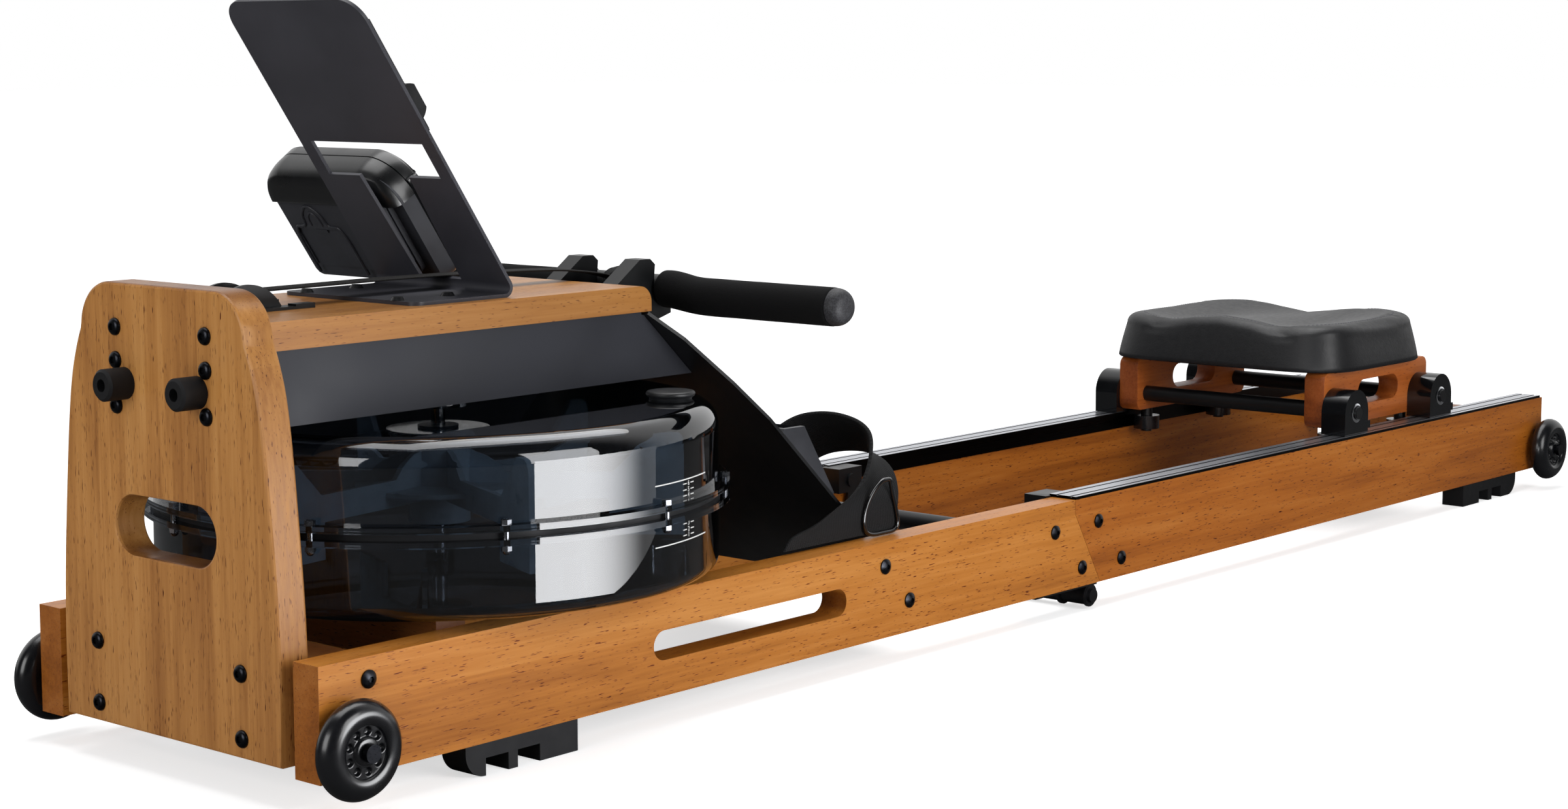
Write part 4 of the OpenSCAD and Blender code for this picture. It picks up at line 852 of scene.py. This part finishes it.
GROOVE_DEEP, GROOVE_WIDE, GROOVE_IN, TOP_FROM = 0.8, 2.2, 6, 185
seam = ring * (TOP_HALF - GROOVE_IN)
seam = at(PAD_X + seam[:, 0], seam[:, 1], pad_top(seam[:, 0], seam[:, 1]))
spots = places(pad.data)
away = np.linalg.norm(spots[:, None, :2] - seam[None, :, :2], axis=2).min(axis=1)
on_top = spots[:, 2] > at(0, 0, TOP_FROM)[2]
spots[:, 2] -= np.where(on_top, GROOVE_DEEP * MM * np.exp(-((away / (GROOVE_WIDE * MM)) ** 2)), 0.0)
put(pad.data, spots)
on_pad = np.array([pad.closest_point_on_mesh(Vector(p))[1] for p in np.concatenate([seam, seam[:1]])])
thread = stitches("seat_pad_stitches", on_pad, 3.2, 1.6, 0.55)
dress_piece(pad, "grained_vinyl", "seat_carriage")
dress_piece(thread, "stitching_thread", "seat_carriage")
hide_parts("seat_pad")

# %% [markdown]
# ## Foot straps
#
# Each foot goes under a broad woven strap. It rises from the middle of the foot plate, arches over the toes and
# comes down outside the plate, where it widens into a flap that lies on the rail. The band is the surface between
# two edge curves, one nearer the toes and one nearer the heel. Along the strap both curves run through a few
# places, and across it the surface is a straight line with a small crown.

# %% The shape of a foot strap
SLOPE = math.radians(42.5)
PLATE_X, PLATE_TOP, PLATE_SKIN = 431, 307.6, 1.5


def on_plate(v, y, w):
    """Place v mm down the foot plate, y mm sideways and w mm out from its upper face."""
    out = w + PLATE_SKIN
    return at(PLATE_X + (v * np.cos(SLOPE) + out * np.sin(SLOPE)), y,
              PLATE_TOP + (-v * np.sin(SLOPE) + out * np.cos(SLOPE)))


arch = ((-20, 1.6), (-19, 30), (-22, 62), (-38, 83), (-62, 91), (-90, 92))
toe = [on_plate(270, y, w) for y, w in arch]
heel = [on_plate(330, y, w) for y, w in arch]
toe += [at(x, y, z) for x, y, z in ((693, -118, 188), (682, -139, 177), (666, -146, 149), (648, -147, 132),
                                    (620, -147, 121), (588, -147, 108), (556, -147, 103), (546, -147, 91.5))]
heel += [at(x, y, z) for x, y, z in ((722, -120, 150), (714, -138, 141), (709, -146, 128), (707, -147.5, 118),
                                     (706, -147.5, 111), (705, -147.5, 103), (704, -147, 97), (703, -147, 91))]


def strap_shell(name, toe_edge, heel_edge, thick, mirror):
    """A band between two edge curves of equal point counts. Points go round its section: out along one face from
    -1 to 1 and back along the other, thick mm apart, and both edges carry a folded hem that is a bit thicker."""
    toe_line, heel_line = (smooth_line(edge, 181, 3) for edge in (toe_edge, heel_edge))
    across = np.sin(np.linspace(-np.pi / 2, np.pi / 2, 33))
    middle = (toe_line + heel_line) / 2
    half = (heel_line - toe_line) / 2
    normal = unit(np.cross(unit(np.gradient(middle, axis=0)), unit(half)))
    hem = 1 + 0.35 * (np.abs(across) > 0.80)
    lift = thick / 2 * hem * np.minimum(1, ((1 - np.abs(across)) * 60) ** 0.5 + 0.25)
    face = middle[:, None] + half[:, None] * across[None, :, None]
    raised = MM * normal[:, None] * lift[None, :, None]
    points = np.concatenate([face + raised, (face - raised)[:, ::-1]], axis=1) * (1, mirror, 1)
    wide = np.linalg.norm(half, axis=1)[:, None] * np.concatenate([across, across[::-1]])[None, :]
    uv = np.stack(np.broadcast_arrays(way_along(middle)[:, None], wide), axis=-1)
    return surface(name, points, cap=True, uv=uv, crease=70)


# %% Both foot straps and their rings
bands, wires = [], []
for side, mirror in (("left", 1), ("right", -1)):
    bands.append(strap_shell("foot_strap_" + side, toe, heel, 2.6, mirror))
    dress_piece(bands[-1], "polyester_foot_strap", "front_frame")
    ring_path = smooth_line([at(x, -151.0 * mirror, z) for x, z in (
        (688, 139), (679, 139), (664, 128), (654, 112), (654, 96), (664, 90.5), (684, 90.5), (699, 90.5), (704, 96),
        (700, 112), (694, 129), (692, 139), (688, 139))], 120, 3)[:-1]
    wires.append(rod("strap_ring_" + side, ring_path, 2.0, closed=True))
    dress_piece(wires[-1], "black_lacquered_wire", "front_frame")
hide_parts("foot_straps")
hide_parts("strap_rings")
print("foot straps:", len(bands))

# %% [markdown]
# ## Pull strap
#
# One flat tape joins the handle to the spool. It leaves the handle, runs over the board to the pulley in front,
# turns down round it and goes back under the board, with a quarter twist, to the spool. The upper run follows the
# handle when it is pulled; it is a piece of its own.

# %% The pull strap
PULLEY_X, PULLEY_Z, TAPE_R = 68.0, 313.7, 31.4
SPOOL_R, SPOOL_Z, TAPE_WIDE, TAPE_THICK = 38.6, 276.5, 22, 2.0
TWIST_X, TWIST_END, TWIST_Z = 72, 176, PULLEY_Z - TAPE_R
sideways = np.array([0.0, 1.0, 0.0])
run = smooth_line([at(x, 0, z) for x, z in ((489.5, 328), (468, 333.5), (445, 337.5), (400, 342.2), (257, 345.6),
                                            (120, 345.3), (66, 345.1))], 240, 3)
upper = tape("pull_strap_upper", run, sideways, TAPE_WIDE, TAPE_THICK)
upper.data.materials.append(finishes["polyester_pull_strap"])

t = np.radians(np.linspace(90, 270, 49))
wrap = at(PULLEY_X + TAPE_R * np.cos(t), 0, PULLEY_Z + TAPE_R * np.sin(t))
share = np.linspace(0, 1, 60)[1:]
ease = share * share * (3 - 2 * share)
twist = at(TWIST_X + (TWIST_END - TWIST_X) * share, SPOOL_R * ease, TWIST_Z + (SPOOL_Z - TWIST_Z) * ease)
on_spool = at(TWIST_END + (TANK_X - TWIST_END) * np.linspace(0, 1, 16)[1:], SPOOL_R, SPOOL_Z)
t = np.radians(np.linspace(90, -250, 90)[1:])
wound = at(TANK_X + SPOOL_R * np.cos(t), SPOOL_R * np.sin(t), SPOOL_Z)
quarter = np.concatenate([np.zeros(len(wrap)), ease * np.pi / 2, np.full(len(on_spool) + len(wound), np.pi / 2)])
across = np.stack([np.zeros_like(quarter), np.cos(quarter), np.sin(quarter)], axis=-1)
lower = tape("pull_strap_lower", np.concatenate([wrap, twist, on_spool, wound]), across, TAPE_WIDE, TAPE_THICK)
dress_piece(lower, "polyester_foot_strap", "front_frame")
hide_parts("pull_strap")
tuple(at(75, 0, 345))
tuple(at(480, 0, 345))
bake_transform(upper)

# %% [markdown]
# ## Handle
#
# The bar is bent down a little on both sides. Foam sleeves cover it from the hooks to its ends, and rubber plugs
# with a round dome close them. Between the hooks the strap's end is wound round the bar. The foam is a circle
# carried along the bent middle line, with its radius a function of the way along.

# %% Foam grips and end plugs
BAR_X, BAR_Z, BAR_END, BAR_END_Z, GRIP_R = 505, 320.5, 241, 316, 16.5
PLUG_R, PLUG_NECK, PLUG_DOME = 16.1, 12.4, 13
bar = at(BAR_X, 0, BAR_Z)
grips = []
for side, mirror in (("left", -1), ("right", 1)):
    bend = smooth_line([at(BAR_X, mirror * y, z) for y, z in (
        (45.6, BAR_Z), (58, BAR_Z), (84, 316.2), (110, BAR_END_Z), (BAR_END, BAR_END_Z))], 90, 3)
    way = np.linspace(0, 1, len(bend))
    radius = GRIP_R - 3.0 * np.exp(-((way / 0.006) ** 2)) + 0.25 * np.sin(way * 23) * np.exp(-3 * way)
    radius[-1] -= 1.2
    grips.append(rod("grip_" + side, bend, radius, 40, plane=np.array([1.0, 0.0, 0.0])))
    dress_piece(grips[-1], "foam_rubber", "handle")
    dome = np.radians(np.linspace(0, 90, 13))
    reach = np.concatenate([[-6, -1.0, 0.0], PLUG_DOME * np.sin(dome)])
    size = np.concatenate([[PLUG_NECK, PLUG_NECK, PLUG_R], PLUG_R * np.cos(dome) ** 0.55 + 0.02])
    plug = turned("grip_plug_" + side, at(BAR_X, mirror * BAR_END, BAR_END_Z), (0, mirror, 0), size, reach)
    dress_piece(plug, "speckled_cap_rubber", "handle")
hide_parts("handle_grips")

# %% The strap's end, wound round the bar
TURNS, START, WRAP_R, GROWTH, WRAP_REACH, WRAP_WIDE, WRAP_THICK = 2.2, 200, 13.4, 2.6, 22, 23, 1.6
FOLD_R, FOLD_REACH, FOLD_WIDE = 17.2, 26, 17
way = np.linspace(0, 1, 300)
angle = 2 * np.pi * TURNS * way + np.radians(START)
radius = WRAP_R + GROWTH * way
line = bar + MM * np.stack([radius * np.cos(angle), WRAP_REACH * (way - 0.5), radius * np.sin(angle)], axis=-1)
wound_end = tape("handle_wrap", line, sideways, WRAP_WIDE, WRAP_THICK)
dress_piece(wound_end, "polyester_foot_strap", "handle")
way = np.linspace(0, 1, 60)
angle = 0.45 + 2.05 * way
line = bar + MM * np.stack([FOLD_R * np.cos(angle), FOLD_REACH * (way - 0.5), FOLD_R * np.sin(angle)], axis=-1)
diagonal = tape("handle_fold", line, np.array([0.5, 1.0, 0.0]), FOLD_WIDE, WRAP_THICK)
dress_piece(diagonal, "polyester_foot_strap", "handle")
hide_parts("handle_sleeve")

# %% [markdown]
# ## Small parts
#
# The tank carries a water scale: plain ticks and numbers in white print on the curved wall. The print is a thin
# skin 0.2 mm proud. A flat drawing is laid out in millimetres along and up, and then wrapped: the way along the
# wall divided by the radius is the angle round the tank.

# %% The water scale
WALL_R, SCALE_TURN, DIGIT_TALL = 234.3, -74.5, 5.6
LEVELS = (186.5, 181.5, 177.0, 154.5, 149.5, 145.0)
finish("white_screen_print", "#e6e6e4", 0.5)


def wrap_round(flat):
    """Flat points (along, up, out) in mm onto the wall: angle = SCALE_TURN - along / radius, and the radius grows
    by out."""
    angle = np.radians(SCALE_TURN) + flat[..., 0] / WALL_R
    reach = WALL_R + flat[..., 2]
    return at(TANK_X + reach * np.cos(angle), reach * np.sin(angle), flat[..., 1])


def dash(along, up, long, high):
    """A thin printed bar from along to along + long, high mm tall about up, as a grid round its edge."""
    s = np.linspace(along, along + long, 17)
    loop = [np.c_[s, np.full(17, up + side * high / 2), np.full(17, out)]
            for side, out in ((-1, 0.05), (1, 0.05), (1, 0.30), (-1, 0.30))]
    return surface("mark", wrap_round(np.stack(loop, axis=1)), cap=True)


printed = [dash(-48, level, 82, 0.9) for level in (190.0, 141.0)]
printed += [dash(along, level, 5.5, 0.8) for level in LEVELS for along in (-9, 3.5)]
for text, level in zip("654321", LEVELS):
    font = bpy.data.curves.new("digit", "FONT")
    font.body, font.size, font.align_x, font.align_y, font.extrude = text, DIGIT_TALL, "CENTER", "CENTER", 0.1
    flat_digit = new_object("digit", font)
    shape = bpy.data.meshes.new_from_object(flat_digit.evaluated_get(bpy.context.evaluated_depsgraph_get()))
    bpy.data.objects.remove(flat_digit)
    put(shape, wrap_round(places(shape) + (0, level, 0.2)))
    printed.append(new_object("digit", shape))
scale = joined("water_scale", printed)
scale.data.materials.clear()
dress_piece(scale, "white_screen_print", "front_frame")

# %% Bearing rings on the seat rollers
SEAT_X, ROLLER_OUT, ROLLER_Y, ROLLER_Z = 1624.5, 101.5, 166.5, 115.5
rings = [turned("ring", at(x, mirror * ROLLER_Y, ROLLER_Z), (0, mirror, 0),
                [10.9, 10.9, 10.2, 7.6, 7.4, 7.4], [0, 2.9, 3.3, 3.3, 2.9, 0])
         for x in (SEAT_X - ROLLER_OUT, SEAT_X + ROLLER_OUT) for mirror in (-1, 1)]
bearings = joined("roller_bearings", rings)
shade(bearings, 40)
dress_piece(bearings, "chromed_steel", "seat_carriage")

# %% [markdown]
# The four wheels that the machine is wheeled away on have a round glossy tyre, a sunk disc with nine holes and a
# boss round the axle. The whole wheel is one section carried round the axle. The holes are pressed into the disc:
# within 2.7 mm of a hole's middle the surface drops by 3 mm, with a steep smooth edge.

# %% Transport wheels
WHEEL_R, WHEEL_W, WHEEL_Y, AXLE_Z, FAR_SIDE = 38.0, 24.0, 188.0, 24.5, 0.82
HUB_R, HOLES, HOLE_OUT, HOLE_R, HOLE_DEEP = 20.2, 9, 15.4, 2.7, 3.0


def wheel(name, x, side):
    """A wheel whose middle is x mm behind the front, on the side given by -1 left or 1 right."""
    tyre = WHEEL_W / 2
    curl = np.radians(np.linspace(118, 0, 21))
    outer = [(4.4, tyre - 1.4), (9.6, tyre - 1.0), (10.8, tyre - 1.8), (11.4, tyre - 3.4)]
    outer += [(r, tyre - 3.9) for r in np.linspace(11.9, HUB_R - 0.6, 18)]
    outer += [(WHEEL_R - tyre + tyre * math.cos(a), tyre * math.sin(a)) for a in curl]
    inner = [(r, -FAR_SIDE * reach) for r, reach in outer[::-1]]
    section = np.array(outer + inner[1:])
    turn = circle(216)
    r, reach = (np.repeat(section[:, k, None], len(turn), axis=1) for k in (0, 1))
    step = 2 * np.pi / HOLES
    across = np.mod(turn + step / 2, step) - step / 2
    from_hole = np.hypot(r * np.cos(across) - HOLE_OUT, r * np.sin(across))
    drop = HOLE_DEEP / (1 + np.exp((from_hole - HOLE_R) / 0.22)) * (r < HUB_R) * (r > 11.5)
    reach = reach - np.sign(reach) * drop
    points = at(x + r * np.cos(turn), side * (WHEEL_Y + reach), AXLE_Z + r * np.sin(turn))
    return surface(name, points, close_rows=True, crease=50)


for end, x in (("front", 24.0), ("rear", 1981.0)):
    for side, mirror in (("left", -1), ("right", 1)):
        made = wheel("wheel_%s_%s_tyre" % (end, side), x, mirror)
        dress_piece(made, "polyurethane_tyre", "wheel_%s_%s" % (end, side))
        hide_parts("%s_wheel_%s" % (end, side))

# %% [markdown]
# The ten bolts in the end plate have button heads 14 mm wide with a 5 mm hexagon socket. The head is a rounded
# section whose innermost ring is a hexagon: its radius is the half width over the flats divided by the cosine of
# the angle to the middle of the nearest flat.

# %% Heads of the end plate's bolts
PLATE_FRONT, SOCKET = -3.5, 2.5
turn = circle(48)
hexagon = SOCKET / np.cos(np.mod(turn, np.pi / 3) - np.pi / 6)
dome = [(6.9, 0.0), (6.9, 0.7), (6.5, 1.9), (5.4, 3.0), (4.2, 3.55), (3.4, 3.7)]
rings = [(r + 0 * turn, h) for r, h in dome] + [(hexagon, 3.7), (0.97 * hexagon, 2.56)]
heads = []
for out, up in ((89, 71), (89, 21.5), (55.6, 320.5), (55.6, 294.8), (55.6, 260)):
    for mirror in (-1, 1):
        points = [at(PLATE_FRONT - h, mirror * out + r * np.cos(turn), up + r * np.sin(turn)) for r, h in rings]
        heads.append(surface("plate_bolt_head", np.array(points), cap=True, crease=35))
dress_piece(joined("plate_bolt_heads", heads), "black_oxide_steel", "front_frame")

# %% [markdown]
# The end plate's sides are one smooth swell from foot to shoulder, and all its edges are eased. Seen from the
# middle of the hand slot, each direction meets the slot's edge once and the plate's edge once, so the plate is a
# ring: both edges are given as a distance for each direction.

# %% End plate
PLATE_THICK, EDGE_R, EDGE_MID = 28, 2.2, 0.65
FOOT_Z, SLOT_Z, SLOT_REACH, SLOT_R = 6, 168, 38.5, 23.5
CORNER_Y, CORNER_Z, CORNER_R = 65, 318.7, 36
side_curve = smooth_line([(133, FOOT_Z), (134.2, 70), (132, 128), (126.5, 190), (121.5, 240), (115.5, 280),
                          (107, 306), (CORNER_Y + CORNER_R, CORNER_Z)], 200, 3)
corner = np.linspace(0, np.pi / 2, 40)
corner_arc = np.stack([CORNER_Y + CORNER_R * np.cos(corner), CORNER_Z + CORNER_R * np.sin(corner)], axis=-1)
flat_top = np.stack([np.linspace(CORNER_Y - 1, 0.5, 40), np.full(40, CORNER_Z + CORNER_R)], axis=-1)
half_edge = np.concatenate([side_curve, corner_arc, flat_top])
edge = np.concatenate([half_edge, half_edge[::-1] * (-1, 1)]) - (0, SLOT_Z)
facing = np.unwrap(np.arctan2(edge[:, 1], edge[:, 0]))
reach = np.hypot(edge[:, 0], edge[:, 1])
first, last = facing[0], facing[-1]
turn = np.concatenate([np.linspace(first, last, 300),
                       last + (first + 2 * np.pi - last) * np.linspace(0, 1, 42)[1:-1]])
along_foot = (SLOT_Z - FOOT_Z) / np.maximum(-np.sin(turn), 0.1)
outer_r = np.where(turn <= last, np.interp(turn, facing, reach), along_foot)
c, s = np.abs(np.cos(turn)), np.abs(np.sin(turn))
slot_end = SLOT_REACH * c + np.sqrt(np.maximum(SLOT_R ** 2 - (SLOT_REACH * s) ** 2, 0))
slot_r = np.where(SLOT_REACH * s <= SLOT_R * c, slot_end, SLOT_R / np.maximum(s, 0.1))
eased = [(EDGE_R, 0), (EDGE_MID, EDGE_MID), (0, EDGE_R)]
eased += [(inset, PLATE_THICK - depth) for inset, depth in eased[::-1]]
rings = [(outer_r - inset, depth) for inset, depth in eased]
rings += [(slot_r + inset, depth) for inset, depth in eased[::-1]]
rows = [at(PLATE_FRONT + depth, r * np.cos(turn), SLOT_Z + r * np.sin(turn)) for r, depth in rings]
plate = surface("end_plate_wood", np.array(rows), close_rows=True, crease=18)
dress_piece(plate, "rubberwood_plate", "front_frame")
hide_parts("end_plate")

# %% [markdown]
# Under the pad stand two wooden blocks with well rounded ends and a long slot. A block is a ring of wood: its
# section runs over the outer edge, along one face into the slot and back along the other, and both edges are
# eased by 1.5 mm.

# %% Seat blocks
def rounded(wide, tall, radius):
    """A box of four corner circles, as points u and v about its middle: each quarter of the circle is moved out
    to its own corner."""
    t = circle(160)
    c, s = np.cos(t), np.sin(t)
    return np.stack([np.sign(c) * (wide / 2 - radius) + radius * c,
                     np.sign(s) * (tall / 2 - radius) + radius * s], axis=-1)


BLOCK_Y, BLOCK_Z, SLOT_X, SLOT_UP = 126, 128, 1628.5, 131
BLOCK, SLOT = (245, 64, 10), (95, 28, 14)  # length, height and corner radius
eased = [(1.5, -13), (0.4, -12.6), (0, -11.5), (0, 11.5), (0.4, 12.6), (1.5, 13)]
blocks = []
for side, mirror in (("left", -1), ("right", 1)):
    rows = []
    for inset, depth in eased:
        edge = rounded(BLOCK[0] - 2 * inset, BLOCK[1] - 2 * inset, BLOCK[2] - inset)
        rows.append(at(SEAT_X + edge[:, 0], mirror * (BLOCK_Y + depth), BLOCK_Z + edge[:, 1]))
    for inset, depth in eased[::-1]:
        edge = rounded(SLOT[0] + 2 * inset, SLOT[1] + 2 * inset, SLOT[2] + inset)
        rows.append(at(SLOT_X + edge[:, 0], mirror * (BLOCK_Y + depth), SLOT_UP + edge[:, 1]))
    blocks.append(surface("seat_block_" + side, np.array(rows), close_rows=True, crease=50))
    dress_piece(blocks[-1], "rubberwood_blocks", "seat_carriage")
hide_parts("seat_blocks")

# %% [markdown]
# The tank's filling hole is closed by a soft rubber stopper: a thin round lid with a lip all round, which stands
# on a narrower stem that plugs the hole.

# %% The stopper of the tank
CAP_REACH, CAP_TURN, TANK_TOP = 194.0, math.radians(-45.6), 240.0
LID_R, STEM_R, LIP, LID_TOP = 20.8, 15.4, 2.4, 7.0
cap_foot = at(TANK_X + CAP_REACH * math.cos(CAP_TURN), CAP_REACH * math.sin(CAP_TURN), TANK_TOP)
roll = np.radians(np.linspace(-90, 90, 9))
radii = np.concatenate([[STEM_R - 3, STEM_R - 0.6, STEM_R], LID_R - LIP + LIP * np.cos(roll), [12.0, 0.2]])
reach = np.concatenate([[-8.6, -8.0, -6.0], 4.2 + LIP * np.sin(roll), [LID_TOP, LID_TOP]])
stopper = turned("tank_stopper", cap_foot, (0, 0, 1), radii, reach)
dress_piece(stopper, "stopper_rubber", "tank_cap")
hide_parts("fill_cap")

# %% [markdown]
# The monitor leans with the tablet holder. Its own ruler, u across, v up and w out of the back, is turned by the
# lean and set on the upright. Over the top sits a glossy hood that bulges to the back, with a step below it. Each
# row of its grid is the same rounded outline, drawn in or out by an inset, at its own depth.

# %% The monitor's hood, its latch and the seam round the battery door
LEAN = math.radians(34.8)
WIDE, TALL, HOOD_R, ARCH = 166.0, 118.0, 34.0, 3.0
PIVOT_X, PIVOT_Y, PIVOT_Z, BACK_W, PIVOT_V = 278, 22, 338.7, 17.0, 21.0


def on_monitor(u, v, w):
    """Place u mm across, v mm up and w mm deep on the monitor's back, turned by the lean of the upright."""
    x, z = BACK_W + w, v - PIVOT_V
    return at(PIVOT_X + x * np.cos(LEAN) - z * np.sin(LEAN), PIVOT_Y + u,
              PIVOT_Z + x * np.sin(LEAN) + z * np.cos(LEAN))


def outline(inset, low):
    """The rounded outline of the housing above v = low, drawn in by inset: a box of corner circles whose top edge
    is a little arched. The last axis holds u and v."""
    t = circle(160)
    c, s = np.cos(t), np.sin(t)
    u = WIDE / 2 + np.sign(c) * (WIDE / 2 - HOOD_R) + (HOOD_R - inset) * c
    v = TALL / 2 + np.sign(s) * (TALL / 2 - HOOD_R) + (HOOD_R - inset) * s
    arch = ARCH * (1 - ((u - WIDE / 2) / (WIDE / 2)) ** 2)
    return np.stack([u, np.maximum(v + arch * (v > TALL / 2), low + max(inset, 0) * 0.35)], axis=-1)


STEP_W, STEP_LOW, HOOD_LOW = 21.5, 97, 84
hood_rows = []
for inset, w in ((30, -4.6), (14, -4.6), (10, -4.2), (7, -3.2), (4.4, -1.6), (2.4, 0.6), (1.0, 3.4), (0.1, 7.0),
                 (-0.6, 11.0), (-0.9, 15.0), (-0.9, 20.4), (0.1, 20.6), (0.1, 21.4), (-0.9, 21.6), (-0.9, 31.0),
                 (0.4, 33.4), (3.0, 34.6), (9.0, 34.6)):
    edge = outline(inset, HOOD_LOW if w < STEP_W else STEP_LOW)
    hood_rows.append(on_monitor(edge[:, 0], edge[:, 1], w))
hood = surface("monitor_hood", np.array(hood_rows), cap=True, crease=35)
dress_piece(hood, "abs_hood", "front_frame")

frame_path = smooth_line([(89, 8), (89, 59), (104, 59), (107, 62), (108, 72), (121, 84), (134, 72), (135, 62),
                          (138, 59), (153, 59), (153, 8)], 200, 3)
seam = rod("monitor_latch_rim", on_monitor(frame_path[:, 0], frame_path[:, 1], -0.2), 1.5)
well = smooth_line([(114, 60), (114, 68), (121, 76), (128, 68), (128, 60)], 60, 3)
latch = rod("monitor_latch", on_monitor(well[:, 0], well[:, 1], -0.1), 1.1)
relief = joined("monitor_back_relief", [seam, latch])
relief.data.shade_smooth()
dress_piece(relief, "abs_grey", "front_frame")

# %% [markdown]
# ## Size
#
# The CAD box and the dressed machine's box are both printed; cloth may stand a little proud of the CAD box. The
# dressed machine must not outgrow its CAD box by more than cloth may stand proud.

# %% Print the sizes
for label, box in (("cad", cad_box), ("dressed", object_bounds())):
    print(label, [[round(float(v), 4) for v in corner] for corner in box])
